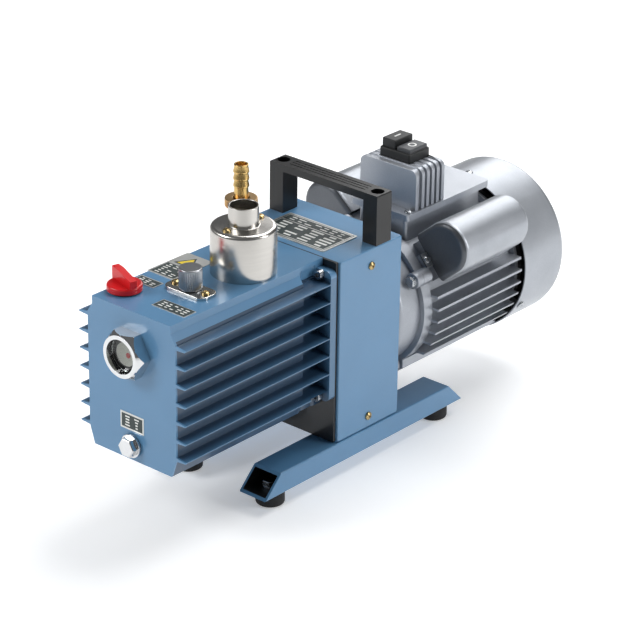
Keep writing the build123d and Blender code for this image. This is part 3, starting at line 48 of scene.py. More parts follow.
# ------------------------------ studio
# A pale seamless table under soft boxes, and a long lens looking down on the pump's front right corner.
# Nothing here belongs to the pump.
camera_turn = radians(40.71)
camera_rise = radians(25.09)
camera_roll = radians(0.85)
camera_reach = 2.7929
camera_target = Vector((-0.00078, -0.00567, 0.127))
camera_lens = 162.7

back = Vector((sin(camera_turn) * cos(camera_rise), -cos(camera_turn) * cos(camera_rise), sin(camera_rise)))
level = Vector((cos(camera_turn), sin(camera_turn), 0))
right = cos(camera_roll) * level + sin(camera_roll) * back.cross(level)
stand = Matrix((right, back.cross(right), back)).transposed().to_4x4()
stand.translation = camera_target + back * camera_reach
camera = bpy.data.objects.new("camera", bpy.data.cameras.new("camera"))
camera.data.lens = camera_lens
camera.data.sensor_width = 36
camera.data.clip_end = 20
camera.matrix_world = stand
scene.collection.objects.link(camera)
scene.camera = camera
scene.view_settings.view_transform = "Standard"


def soft_box(name, place, aim, width, height, power):
    """One rectangular soft box, turned to face aim."""
    light = bpy.data.lights.new(name, "AREA")
    light.shape = "RECTANGLE"
    light.size = width
    light.size_y = height
    light.energy = power
    box = bpy.data.objects.new(name, light)
    box.location = place
    box.rotation_euler = (Vector(aim) - Vector(place)).to_track_quat("-Z", "Y").to_euler()
    scene.collection.objects.link(box)


soft_box("key_box", (-1.1, -1.7, 1.5), (0, -0.1, 0.15), 1.1, 0.9, 28)
soft_box("top_box", (0.1, 0.9, 2.0), (0, 0, 0.1), 1.5, 1.2, 30)
soft_box("side_box", (1.9, 0.9, 0.9), (0, 0, 0.15), 0.5, 1.3, 17)
soft_box("rear_box", (-0.8, 2.0, 1.2), (0, 0.1, 0.15), 1.2, 1.0, 14)


def add(tree, kind, settings=None, sockets=None):
    """Adds one node with its properties, and its inputs' values or the outputs that feed them."""
    made = tree.nodes.new(kind)
    for name, value in (settings or {}).items():
        setattr(made, name, value)
    for key, value in (sockets or {}).items():
        if isinstance(value, bpy.types.NodeSocket):
            tree.links.new(value, made.inputs[key])
        else:
            made.inputs[key].default_value = value
    return made


def tone(code):
    """Linear colour of an sRGB hex value."""
    parts = [int(code[i:i + 2], 16) / 255 for i in (1, 3, 5)]
    return tuple(p / 12.92 if p <= 0.04045 else ((p + 0.055) / 1.055) ** 2.4 for p in parts) + (1,)


world = bpy.data.worlds.new("studio_air")
world.use_nodes = True
scene.world = world
air = world.node_tree
air.nodes["Background"].inputs["Color"].default_value = tone("#eef1f4")
air.nodes["Background"].inputs["Strength"].default_value = 0.17


def surface(name, sockets):
    """A material with one Principled shader, its fixed values set on its own sockets."""
    made = bpy.data.materials.new(name)
    made.use_nodes = True
    shader = made.node_tree.nodes["Principled BSDF"]
    for key, value in sockets.items():
        shader.inputs[key].default_value = value
    return made, made.node_tree, shader


table = surface("lit_table", {
    "Base Color": tone("#f4f5f6"), "Roughness": 0.9,
    "Emission Color": tone("#ffffff"), "Emission Strength": 0.3})[0]
table_half = 6.0      # metres
table_corners = [(a * table_half, b * table_half, 0) for a, b in ((-1, -1), (1, -1), (1, 1), (-1, 1))]
floor_mesh = bpy.data.meshes.new("table_top")
floor_mesh.from_pydata(table_corners, [], [(0, 1, 2, 3)])
floor_mesh.materials.append(table)
floor = bpy.data.objects.new("table_top", floor_mesh)
scene.collection.objects.link(floor)

# ------------------------------ blue castings and sheet metal
# The oil case is an aluminium casting with fins, the bracket a heavy welded box, and the side covers and
# rails are folded steel. All wear the same blue stove enamel: glossy, with a faint orange peel and soft
# edges. Its colour varies a little with its thickness.
enamel_peel = 2.6 * mm      # spacing of the orange peel
enamel_cloud = 45 * mm      # spacing of the faint colour clouds
# where the painted shade between the fins runs: the fins' tips, roots, front and top
fin_gap_shade = (73 * mm, 58 * mm, -263 * mm, 211 * mm)     # tip, root, front and top of the finned sides


def pattern_sets(tree, shader, pattern, colours=None, roughness=None, relief=None):
    """Lets a pattern run the colour and the roughness between two values, and raise a relief.

    The relief is its strength and its depth.
    """
    if colours:
        tint = add(tree, "ShaderNodeMix", {"data_type": "RGBA"},
                   {"Factor": pattern, "A": tone(colours[0]), "B": tone(colours[1])})
        tree.links.new(tint.outputs["Result"], shader.inputs["Base Color"])
    if roughness:
        gloss = add(tree, "ShaderNodeMapRange", {},
                    {"Value": pattern, "To Min": roughness[0], "To Max": roughness[1]})
        tree.links.new(gloss.outputs["Result"], shader.inputs["Roughness"])
    if relief:
        bump = add(tree, "ShaderNodeBump", {},
                   {"Height": pattern, "Strength": relief[0], "Distance": relief[1]})
        tree.links.new(bump.outputs["Normal"], shader.inputs["Normal"])


def stove_enamel(name, light, dark, peel, roughness, gap_shade=None):
    """Sprayed and baked enamel: clouds of colour and an orange-peel skin.

    Given the (tip, root, front, top) of a finned side, the paint darkens from tip to root: painted shade
    between the fins.
    """
    made, tree, shader = surface(name, {"Coat Weight": 0.35, "Coat Roughness": 0.06})
    where = add(tree, "ShaderNodeTexCoord").outputs["Object"]
    clouds = add(tree, "ShaderNodeTexNoise", {}, {"Vector": where, "Scale": 1 / enamel_cloud, "Detail": 3.0})
    paint = add(tree, "ShaderNodeMix", {"data_type": "RGBA"},
                {"Factor": clouds.outputs["Fac"], "A": tone(dark), "B": tone(light)})
    # painted shade: between the fins the colour darkens towards navy from tip to root
    if gap_shade:
        tip, root, front, top = gap_shade
        parts = add(tree, "ShaderNodeSeparateXYZ", {}, {0: where})
        reach = add(tree, "ShaderNodeMath", {"operation": "ABSOLUTE"}, {0: parts.outputs["X"]})
        depth = add(tree, "ShaderNodeMapRange", {}, {
            "Value": reach.outputs[0], "From Min": tip, "From Max": root, "To Min": 0.0, "To Max": 0.8})
        behind = add(tree, "ShaderNodeMath", {"operation": "GREATER_THAN"},
                     {0: parts.outputs["Y"], 1: front})
        under = add(tree, "ShaderNodeMath", {"operation": "LESS_THAN"},
                    {0: parts.outputs["Z"], 1: top})
        both = add(tree, "ShaderNodeMath", {"operation": "MULTIPLY"},
                   {0: behind.outputs[0], 1: under.outputs[0]})
        share = add(tree, "ShaderNodeMath", {"operation": "MULTIPLY"},
                    {0: both.outputs[0], 1: depth.outputs["Result"]})
        paint = add(tree, "ShaderNodeMix", {"data_type": "RGBA"},
                    {"Factor": share.outputs[0], "A": paint.outputs["Result"], "B": tone("#16243a")})
    tree.links.new(paint.outputs["Result"], shader.inputs["Base Color"])
    skin_noise = add(tree, "ShaderNodeTexNoise", {}, {"Vector": where, "Scale": 1 / peel, "Detail": 2.0})
    pattern_sets(tree, shader, skin_noise.outputs["Fac"], None,
                 (roughness - 0.05, roughness + 0.06), (0.12, 0.15 * mm))
    return made


thick_blue = "#5482a8"
thin_blue = "#5b8bb2"
blue_enamel = stove_enamel("blue_stove_enamel", thin_blue, thick_blue, enamel_peel, 0.3)
# the finned case's enamel carries painted shade between its fins
finned_enamel = stove_enamel("blue_stove_enamel_with_painted_fin_shade", thin_blue, thick_blue, enamel_peel, 0.3, fin_gap_shade)
weld = 2e-6                 # metres, under which two corners are one
flat_turn = radians(0.3)    # under which neighbouring faces are one flat
large_flat = 0.0015         # square metres
flat_weight = 80            # over 50, so larger faces count for more in the shading


def settle(piece):
    """Applies the piece's modifiers, leaving a plain mesh."""
    seen = piece.evaluated_get(bpy.context.evaluated_depsgraph_get())
    mesh = bpy.data.meshes.new_from_object(seen)
    piece.modifiers.clear()
    old = piece.data
    piece.data = mesh
    bpy.data.meshes.remove(old)
    return mesh


def smooth_edges(piece, sharp):
    """Applies the modifiers, then shades smooth but for edges sharper than the angle.

    Large flats keep their own shading, and smaller ones outweigh their rounded edges.
    """
    mesh = settle(piece)
    mesh.set_sharp_from_angle(angle=radians(sharp))
    if "sharp_edge" not in mesh.attributes:
        mesh.attributes.new("sharp_edge", "BOOLEAN", "EDGE")
    creases = mesh.attributes["sharp_edge"].data
    for face in mesh.polygons:
        if face.area > large_flat:
            for corner in face.loop_indices:
                creases[mesh.loops[corner].edge_index].value = True
    weighted = piece.modifiers.new("weighted", "WEIGHTED_NORMAL")
    weighted.keep_sharp = True
    weighted.weight = flat_weight
    settle(piece)


def skin(node, material, body="pump_body", edge=0.5 * mm, sharp=34, steps=2):
    """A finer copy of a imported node: welded, its flats joined, its sharp edges rounded and shaded smooth."""
    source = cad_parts[node]
    piece = bpy.data.objects.new(node + "_finished", source.data.copy())
    scene.collection.objects.link(piece)
    shape = bmesh.new()
    shape.from_mesh(piece.data)
    bmesh.ops.remove_doubles(shape, verts=shape.verts, dist=weld)
    bmesh.ops.dissolve_limit(shape, angle_limit=flat_turn, verts=shape.verts, edges=shape.edges)
    shape.to_mesh(piece.data)
    shape.free()
    piece.data.materials.clear()
    piece.data.materials.append(material)
    for face in piece.data.polygons:
        face.use_smooth = True
    if edge:
        rounding = piece.modifiers.new("edges", "BEVEL")
        rounding.width = edge
        rounding.segments = steps
        rounding.limit_method = "ANGLE"
        rounding.angle_limit = radians(sharp)
        rounding.use_clamp_overlap = True
    smooth_edges(piece, sharp)
    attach(piece, body)
    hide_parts(node)
    return piece


skin("oil_case", finned_enamel, edge=0.35 * mm)
for node, edge in (("bracket", 0.5 * mm), ("side_covers", 0.3 * mm)):
    skin(node, blue_enamel, edge=edge)
rail_pair = skin("rails", blue_enamel, edge=0.5 * mm)

# ------------------------------ black plate and carrying handle
# The plate between case and bracket is laser-cut steel in satin black enamel. The handle is moulded from
# black glass-filled nylon, its grip ribbed, with two deep sockets for the screws that hold it down.
black_enamel = stove_enamel("black_stove_enamel", "#17181a", "#101113", 1.6 * mm, 0.34)
skin("pump_plate", black_enamel, edge=0.3 * mm)
# the rails' insides are painted black: painted shade within the closed tubes
rail_low, rail_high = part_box("rails")
rail_middle = 52.8 * mm
# inner faces deeper than this inside a rail get the black painted shade
rail_shade_depth = 0.9 * mm
end_facing = 0.3
rail_half = rail_high.x - rail_middle
rail_pair.data.materials.append(black_enamel)
for face in rail_pair.data.polygons:
    middle = face.center
    side = rail_half - abs(abs(middle.x) - rail_middle)
    depth = min(side, middle.z - rail_low.z, rail_high.z - middle.z)
    if depth > rail_shade_depth and abs(face.normal.y) < end_facing:
        face.material_index = 1


bloom_patch = 12 * mm


def moulded(name, colour, bloom, grain, roughness, depth):
    """Moulded plastic or rubber: a fine spark-eroded grain, and a faint paler bloom in patches."""
    made, tree, shader = surface(name, {"Specular IOR Level": 0.45})
    where = add(tree, "ShaderNodeTexCoord").outputs["Object"]
    patches = add(tree, "ShaderNodeTexNoise", {}, {"Vector": where, "Scale": 1 / bloom_patch, "Detail": 2.0})
    pattern_sets(tree, shader, patches.outputs["Fac"], (colour, bloom))
    sparks = add(tree, "ShaderNodeTexNoise", {}, {"Vector": where, "Scale": 1 / grain, "Detail": 4.0})
    pattern_sets(tree, shader, sparks.outputs["Fac"], None,
                 (roughness - 0.06, roughness + 0.08), (0.35, depth))
    return made


black_nylon = moulded("glass_filled_nylon", "#0b0b0c", "#121314", 1.2 * mm, 0.3, 0.05 * mm)
skin("handle", black_nylon, edge=0.5 * mm)

# ------------------------------ rubber feet, seals and spider
# Pressed from black natural rubber: matte, slightly greyed by talc.
black_rubber = moulded("natural_rubber", "#161617", "#232325", 0.9 * mm, 0.72, 0.08 * mm)
skin("rubber_feet", black_rubber, edge=0)
for node, body in (("coupling_spider", "rotor"), ("shaft_seal", "pump_body"),
                   ("filler_seal", "filler_seal")):
    skin(node, black_rubber, body=body, edge=0)


# ------------------------------ exhaust can
# Deep-drawn stainless steel, turned bright, with a rolled shoulder and a short welded pipe. The turning
# marks run round it, so they stretch each reflection into an upright band.
def rounded(corners, arc_steps=5):
    """Profile points from (radius, height, rounding): a corner with a rounding becomes an arc."""
    line = []
    for index, (r, z, rounding) in enumerate(corners):
        here = Vector((r, z))
        if not rounding:
            line.append(here)
            continue
        before = (Vector(corners[index - 1][:2]) - here).normalized()
        after = (Vector(corners[(index + 1) % len(corners)][:2]) - here).normalized()
        half = before.angle(after) / 2
        centre = here + (before + after).normalized() * rounding / sin(half)
        start = here + before * rounding * cos(half) / sin(half) - centre
        end = here + after * rounding * cos(half) / sin(half) - centre
        for step in range(arc_steps + 1):
            line.append(centre + start.slerp(end, step / arc_steps).normalized() * rounding)
    return line


turned_edge = 38      # degrees, past which a turned edge stays sharp


def turned(name, profile, material, place, way=(0, 0, 1), steps=72):
    """A turned body: the profile, closed on itself or running from the axis back to it, spun about way."""
    shape = bmesh.new()
    marks = shape.loops.layers.uv.new("turned")
    angles = [tau * s / steps for s in range(steps)]
    touches = [p.x < 1e-7 for p in profile]
    rings = []
    for point, pole in zip(profile, touches):
        if pole:
            rings.append([shape.verts.new((0, 0, point.y))] * steps)
        else:
            rings.append([shape.verts.new((point.x * cos(a), point.x * sin(a), point.y)) for a in angles])
    lengths = [0.0]
    for first, second in zip(profile, profile[1:]):
        lengths.append(lengths[-1] + (second - first).length)
    closed = not any(touches)
    for row in range(len(profile) if closed else len(profile) - 1):
        lower, upper = rings[row], rings[(row + 1) % len(profile)]
        for s in range(steps):
            t = (s + 1) % steps
            corners = [(lower[s], s, row), (lower[t], s + 1, row),
                       (upper[t], s + 1, row + 1), (upper[s], s, row + 1)]
            kept = [c for i, c in enumerate(corners) if c[0] is not corners[i - 1][0]]
            if len(kept) < 3:
                continue
            face = shape.faces.new([c[0] for c in kept])
            face.smooth = True
            for loop, (vert, turn, step) in zip(face.loops, kept):
                along = lengths[step] if step < len(lengths) else lengths[-1]
                loop[marks].uv = (turn / steps, along)
    bmesh.ops.recalc_face_normals(shape, faces=shape.faces)
    shape.transform(Vector(way).to_track_quat("Z", "Y").to_matrix().to_4x4())
    shape.transform(Matrix.Translation(place))
    mesh = bpy.data.meshes.new(name)
    shape.to_mesh(mesh)
    shape.free()
    mesh.materials.append(material)
    mesh.set_sharp_from_angle(angle=radians(turned_edge))
    piece = bpy.data.objects.new(name, mesh)
    scene.collection.objects.link(piece)
    return piece


def lathe_finish(name, colour, shade, roughness, streak, anisotropy):
    """Metal from the lathe: fine rings that follow the turning, drawn as wide as they need to show."""
    made, tree, shader = surface(name, {"Metallic": 1.0, "Anisotropic": anisotropy})
    where = add(tree, "ShaderNodeUVMap", {"uv_map": "turned"}).outputs["UV"]
    stretched = add(tree, "ShaderNodeMapping", {}, {"Vector": where, "Scale": (3.0, 1 / streak, 1.0)})
    rings = add(tree, "ShaderNodeTexNoise", {},
                {"Vector": stretched.outputs["Vector"], "Scale": 1.0, "Detail": 4.0})
    pattern_sets(tree, shader, rings.outputs["Fac"], (shade, colour),
                 (roughness - 0.05, roughness + 0.07), (0.15, 0.02 * mm))
    if anisotropy:
        round_way = add(tree, "ShaderNodeTangent", {"direction_type": "UV_MAP", "uv_map": "turned"})
        tree.links.new(round_way.outputs["Tangent"], shader.inputs["Tangent"])
    return made


stainless = lathe_finish("turned_stainless_steel", "#cfccc7", "#b5b2ad", 0.22, 1.1 * mm, 0.7)
can_low, can_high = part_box("exhaust_body")
can_x, can_y = (can_low.x + can_high.x) / 2, (can_low.y + can_high.y) / 2
can_r = (can_high.x - can_low.x) / 2
pipe_r = 14.2 * mm
pipe_length = 19.2 * mm
sheet = 1.5 * mm
full = can_high.z - can_low.z
shoulder = full - pipe_length
ceiling = shoulder - 2 * mm
can = turned("exhaust_can", rounded([
    (can_r - sheet, 0, 0), (can_r, 0, 0.4 * mm), (can_r, shoulder, 4 * mm), (pipe_r, shoulder, 1.2 * mm),
    (pipe_r, full, 0.5 * mm), (pipe_r - sheet, full, 0.5 * mm), (pipe_r - sheet, ceiling, 0),
    (can_r - sheet, ceiling, 2 * mm)]), stainless, (can_x, can_y, can_low.z), steps=96)
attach(can, "pump_body")
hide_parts("exhaust_body")

# ------------------------------ gas ballast valve
# A knurled steel knob on a nickel-plated plate. The knurl is rolled: straight ridges round the grip only,
# so the flat top and the chamfer stay plain and bright.
knurled_steel = lathe_finish("rolled_knurl_steel", "#b9bbbd", "#94979b", 0.3, 0.7 * mm, 0.0)


def geometry_tree(name, inputs, result):
    """An empty geometry-nodes tree with named inputs and one result, and where its inputs come in."""
    made = bpy.data.node_groups.new(name, "GeometryNodeTree")
    for label, kind in inputs:
        made.interface.new_socket(label, in_out="INPUT", socket_type="NodeSocket" + kind)
    made.interface.new_socket(result, in_out="OUTPUT", socket_type="NodeSocketGeometry")
    return made, add(made, "NodeGroupInput").outputs


def end_tree(made, shape, material):
    """Ends a geometry-nodes tree: its shape is made real and gets its material."""
    real = add(made, "GeometryNodeRealizeInstances", {}, {"Geometry": shape.outputs[0]})
    coated = add(made, "GeometryNodeSetMaterial", {}, {"Geometry": real.outputs[0], "Material": material})
    add(made, "NodeGroupOutput", {}, {0: coated.outputs[0]})
    return made


def knurl_tree():
    """Geometry nodes: ridges round a turned grip, between two heights, as many and as deep as asked."""
    made, asked = geometry_tree("rolled_knurl", (
        ("Blank", "Geometry"), ("Axis Place", "Vector"), ("Ridges", "Float"), ("Depth", "Float"),
        ("Low", "Float"), ("High", "Float"), ("Inner Radius", "Float"), ("Metal", "Material")), "Knurled")
    place = add(made, "GeometryNodeInputPosition").outputs["Position"]
    arm = add(made, "ShaderNodeVectorMath", {"operation": "SUBTRACT"}, {0: place, 1: asked["Axis Place"]})
    flat = add(made, "ShaderNodeVectorMath", {"operation": "MULTIPLY"}, {0: arm.outputs[0], 1: (1, 1, 0)})
    split = add(made, "ShaderNodeSeparateXYZ", {}, {0: arm.outputs[0]})
    angle = add(made, "ShaderNodeMath", {"operation": "ARCTAN2"},
                {0: split.outputs["Y"], 1: split.outputs["X"]})
    turns = add(made, "ShaderNodeMath", {"operation": "MULTIPLY"},
                {0: angle.outputs[0], 1: asked["Ridges"]})
    wave = add(made, "ShaderNodeMath", {"operation": "COSINE"}, {0: turns.outputs[0]})
    above = add(made, "ShaderNodeMath", {"operation": "GREATER_THAN"},
                {0: split.outputs["Z"], 1: asked["Low"]})
    below = add(made, "ShaderNodeMath", {"operation": "LESS_THAN"},
                {0: split.outputs["Z"], 1: asked["High"]})
    reach = add(made, "ShaderNodeVectorMath", {"operation": "LENGTH"}, {0: flat.outputs[0]})
    outer = add(made, "ShaderNodeMath", {"operation": "GREATER_THAN"},
                {0: reach.outputs["Value"], 1: asked["Inner Radius"]})
    inside = add(made, "ShaderNodeMath", {"operation": "MULTIPLY"},
                 {0: above.outputs[0], 1: below.outputs[0]})
    grip = add(made, "ShaderNodeMath", {"operation": "MULTIPLY"},
               {0: inside.outputs[0], 1: outer.outputs[0]})
    cut = add(made, "ShaderNodeMath", {"operation": "SUBTRACT"}, {0: wave.outputs[0], 1: 1.0})
    depth = add(made, "ShaderNodeMath", {"operation": "MULTIPLY"}, {0: cut.outputs[0], 1: asked["Depth"]})
    push = add(made, "ShaderNodeMath", {"operation": "MULTIPLY"}, {0: depth.outputs[0], 1: grip.outputs[0]})
    way = add(made, "ShaderNodeVectorMath", {"operation": "NORMALIZE"}, {0: flat.outputs[0]})
    shift = add(made, "ShaderNodeVectorMath", {"operation": "SCALE"},
                {0: way.outputs[0], "Scale": push.outputs[0]})
    moved = add(made, "GeometryNodeSetPosition", {},
                {"Geometry": asked["Blank"], "Offset": shift.outputs[0]})
    return end_tree(made, moved, asked["Metal"])


def worked(piece, tree, values):
    """Runs a geometry-nodes tree on the piece, its named inputs set, and keeps the plain mesh."""
    step = piece.modifiers.new(tree.name, "NODES")
    step.node_group = tree
    for item in tree.interface.items_tree:
        if item.in_out == "INPUT" and item.name in values:
            step[item.identifier] = values[item.name]
    smooth_edges(piece, turned_edge)


knurl = knurl_tree()
knob_low, knob_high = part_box("ballast_knob")
knob_place = Vector(((knob_low.x + knob_high.x) / 2, (knob_low.y + knob_high.y) / 2, knob_low.z))
knob_r = (knob_high.x - knob_low.x) / 2
knob_height = knob_high.z - knob_low.z
hub_bore = 6.3 * mm
hub_depth = 12 * mm
stem_bore = 3.05 * mm
stem_depth = 16 * mm
knurl_foot = knob_height * 0.065
knurl_head = knob_height * 0.905
grip_steps = [(knob_r, knob_height * share, 0) for share in (0.06, 0.07, 0.3, 0.6, 0.9, 0.91)]
knob = turned("ballast_grip", rounded(
    [(stem_bore, stem_depth, 0), (stem_bore, hub_depth, 0), (hub_bore, hub_depth, 0), (hub_bore, 0, 0),
     (knob_r, 0, 0.5 * mm)] + grip_steps +
    [(knob_r, knob_height, 1.0 * mm), (0, knob_height, 0), (0, stem_depth, 0)]),
    knurled_steel, knob_place, steps=320)
worked(knob, knurl, {"Axis Place": knob_place, "Ridges": 40.0, "Depth": 0.3 * mm, "Low": knurl_foot,
                     "High": knurl_head, "Inner Radius": knob_r - 0.3 * mm, "Metal": knurled_steel})
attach(knob, "ballast_knob")
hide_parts("ballast_knob")


def bright_plate(name, colour, shade, roughness, blotch):
    """Plated or ground metal without a lathe's rings: faint blotches in its shine."""
    made, tree, shader = surface(name, {"Metallic": 1.0})
    where = add(tree, "ShaderNodeTexCoord").outputs["Object"]
    blotches = add(tree, "ShaderNodeTexNoise", {}, {"Vector": where, "Scale": 1 / blotch, "Detail": 3.0})
    pattern_sets(tree, shader, blotches.outputs["Fac"], (shade, colour),
                 (roughness - 0.04, roughness + 0.06), (0.1, 0.03 * mm))
    return made


bright_nickel = bright_plate("bright_nickel_plate", "#d6d6d3", "#bfc0be", 0.14, 6 * mm)
skin("ballast_plate", bright_nickel, edge=0.3 * mm)
skin("ballast_pin", bright_nickel, body="ballast_pin", edge=0)

# ------------------------------ inlet: steel stub, brass barb and nut
# The barb is turned from free-cutting brass, with three hose ridges, and a knurled union nut holds it on
# the plated stub. The nut has dulled to a warmer tone from handling.
brass = lathe_finish("turned_brass", "#dcbd80", "#c4a261", 0.24, 0.9 * mm, 0.3)
nut_brass = lathe_finish("handled_brass", "#d2b080", "#b08c60", 0.32, 0.8 * mm, 0.0)
barb_low, barb_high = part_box("inlet_barb")
barb_place = Vector(((barb_low.x + barb_high.x) / 2, (barb_low.y + barb_high.y) / 2, 0))
nut_low, nut_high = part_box("inlet_nut")
nut_r = (nut_high.x - nut_low.x) / 2
barb_r = 7.6 * mm
shank_r = 6.7 * mm
barb_bore = 5.4 * mm
collar_r = 12.3 * mm
collar_top = nut_low.z + 4 * mm
ridge_pitch = 7.0 * mm
barb_line = [(barb_bore, barb_low.z, 0), (collar_r, barb_low.z, 0.3 * mm),
             (collar_r, collar_top, 0.3 * mm), (shank_r + 0.4 * mm, collar_top, 0)]
for ridge in range(3):
    foot = barb_high.z - (3 - ridge) * ridge_pitch - 1.5 * mm
    barb_line += [(shank_r, foot, 0.4 * mm), (barb_r, foot + 0.4 * mm, 0.3 * mm),
                  (barb_r, foot + 1.8 * mm, 0.5 * mm),
                  (shank_r - 0.2 * mm, foot + ridge_pitch - 0.6 * mm, 0.3 * mm)]
tip_r = barb_r - 0.7 * mm
barb_line += [(tip_r, barb_high.z - 1.9 * mm, 0.3 * mm), (tip_r, barb_high.z, 0.6 * mm),
              (barb_bore, barb_high.z, 0.3 * mm)]
barb = turned("hose_barb", rounded(barb_line, 3), brass, barb_place)
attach(barb, "inlet_barb")
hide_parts("inlet_barb")

nut_height = nut_high.z - nut_low.z
nut_place = Vector((barb_place.x, barb_place.y, nut_low.z))
nut_bore = 7.9 * mm
nut_counter = 12.8 * mm
nut_web = nut_height - 3 * mm
nut_steps = [(nut_r, nut_height * share, 0) for share in (0.14, 0.15, 0.5, 0.85, 0.86)]
nut = turned("union_nut", rounded(
    [(nut_bore, nut_height, 0.4 * mm), (nut_bore, nut_web, 0), (nut_counter, nut_web, 0),
     (nut_counter, 0, 0), (nut_r, 0, 0.7 * mm)] + nut_steps + [(nut_r, nut_height, 0.7 * mm)]),
    nut_brass, nut_place, steps=360)
worked(nut, knurl, {"Axis Place": nut_place, "Ridges": 60.0, "Depth": 0.25 * mm, "Low": nut_height * 0.145,
                    "High": nut_height * 0.855, "Inner Radius": nut_r - 0.3 * mm, "Metal": nut_brass})
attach(nut, "inlet_nut")
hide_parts("inlet_nut")
skin("inlet_port", bright_nickel, edge=0.2 * mm)

# ------------------------------ oil filler cap
# Injection-moulded red ABS, its wing shaped for a finger and thumb: glossy, with soft edges.
red_abs = moulded("red_abs", "#d0131a", "#da1e22", 0.8 * mm, 0.3, 0.02 * mm)
skin("filler_cap", red_abs, body="filler_cap", edge=0.7 * mm, steps=3)

# ------------------------------ oil sight glass
# A chromed hexagon nut clamps a domed glass over a pale reflector, in whose middle a red float shows the
# oil's level through a dark sealing ring.
chrome = bright_plate("bright_chrome", "#dfe0e1", "#cfd0d1", 0.1, 8 * mm)
skin("sight_glass_nut", chrome, edge=0.5 * mm, steps=3)
lens_low, lens_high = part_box("sight_glass_lens")
disc_low, disc_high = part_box("sight_glass_disc")
glass_r = (lens_high.x - lens_low.x) / 2
window = Vector(((lens_low.x + lens_high.x) / 2, lens_high.y, (lens_low.z + lens_high.z) / 2))
glass_t = lens_high.y - lens_low.y
window_glass, tree, shader = surface("window_glass", {
    "Base Color": tone("#eef3f1"), "Roughness": 0.03, "IOR": 1.5, "Transmission Weight": 1.0})
dirt = add(tree, "ShaderNodeTexNoise", {}, {
    "Vector": add(tree, "ShaderNodeTexCoord").outputs["Object"], "Scale": 1 / (5 * mm), "Detail": 2.0})
haze = add(tree, "ShaderNodeMapRange", {}, {"Value": dirt.outputs["Fac"], "To Min": 0.01, "To Max": 0.06})
tree.links.new(haze.outputs["Result"], shader.inputs["Roughness"])
lens = turned("window_lens", rounded([
    (0, 0, 0), (glass_r, 0, 0.3 * mm), (glass_r, glass_t - 0.8 * mm, 0.5 * mm),
    (glass_r * 0.6, glass_t - 0.25 * mm, 3 * mm), (0, glass_t, 0)]), window_glass, window, (0, -1, 0))
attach(lens, "pump_body")
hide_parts("sight_glass_lens")

reflector_white = moulded("anodised_reflector", "#b9b3a8", "#cfcac0", 3 * mm, 0.4, 0.02 * mm)
disc_face = Vector((window.x, disc_high.y, window.z))
disc_t = disc_high.y - disc_low.y
reflector = turned("level_reflector", rounded([
    (0, 0, 0), (glass_r - 0.4 * mm, 0, 0), (glass_r - 0.4 * mm, disc_t - 0.2 * mm, 0.2 * mm),
    (11.5 * mm, disc_t - 0.4 * mm, 0.5 * mm), (0, disc_t - 0.8 * mm, 0)]),
    reflector_white, disc_face, (0, -1, 0))
seal_bore = 11.2 * mm
seal_t = 0.5 * mm
ring_rubber = moulded("sealing_ring_rubber", "#1c1b1a", "#2a2927", 0.8 * mm, 0.5, 0.03 * mm)
seal_ring = turned("window_seal", rounded([
    (seal_bore, 0, 0.1 * mm), (glass_r - 0.5 * mm, 0, 0.1 * mm), (glass_r - 0.5 * mm, seal_t, 0.15 * mm),
    (seal_bore, seal_t, 0.15 * mm)]), ring_rubber, disc_face - Vector((0, disc_t - seal_t, 0)), (0, -1, 0))
float_x = 3.5 * mm
float_r = 2.6 * mm
float_red = moulded("red_float", "#c8282a", "#d6403e", 1 * mm, 0.35, 0.02 * mm)
level_float = turned("level_float", rounded([
    (0, 0, 0), (float_r, 0, 0.1 * mm), (float_r, 0.6 * mm, 0.2 * mm), (0, 0.8 * mm, 0)]),
    float_red, disc_face + Vector((float_x, -disc_t + seal_t, 0)), (0, -1, 0), steps=32)
for piece in (reflector, seal_ring, level_float):
    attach(piece, "pump_body")
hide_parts("sight_glass_disc")

# ------------------------------ drain plug
# A flanged hexagon plug, chrome-plated, on an annealed aluminium sealing washer.
skin("drain_plug", chrome, body="drain_plug", edge=0.4 * mm, steps=3)
soft_aluminium = bright_plate("annealed_aluminium", "#b4b6b8", "#9fa1a3", 0.4, 3 * mm)
skin("drain_washer", soft_aluminium, body="drain_washer", edge=0)


# ------------------------------ cross-head screws
# Pan-head screws, cold-headed: brass-plated on the can, the plate and the side covers, zinc-plated on the
# motor. Each head stands at its own turn, as it was driven.
def screw_head(name, r, shank):
    """One pan-head screw with a cross recess, its seat at the origin and its head upwards."""
    head = turned(name, rounded([
        (0, -shank, 0), (r, -shank, 0.2 * mm), (r, 0, 0), (2 * r, 0, 0.1 * mm), (2 * r, 0.75 * r, 0.5 * r),
        (r, 1.3 * r, 0.6 * r), (0, 1.36 * r, 0)], 4), bright_nickel, (0, 0, 0), steps=40)
    cutter = bpy.data.objects.new("cross", bpy.data.meshes.new("cross"))
    scene.collection.objects.link(cutter)
    cross = bmesh.new()
    for turn in (0, pi / 2):
        made = bmesh.ops.create_cube(cross, size=1.0)["verts"]
        grow = Matrix.Diagonal((2.5 * r, 0.6 * r, 1.6 * r, 1))
        bmesh.ops.transform(cross, verts=made, matrix=Matrix.Rotation(turn, 4, "Z") @ Matrix.Translation(
            (0, 0, 1.4 * r)) @ grow)
        for vert in made:
            if vert.co.z < 1.4 * r:
                vert.co.xy *= 0.45
    cross.to_mesh(cutter.data)
    cross.free()
    slot = head.modifiers.new("recess", "BOOLEAN")
    slot.object = cutter
    slot.solver = "EXACT"
    slot.use_self = True
    smooth_edges(head, 30)
    bpy.data.objects.remove(cutter)
    head.hide_render = True
    return head


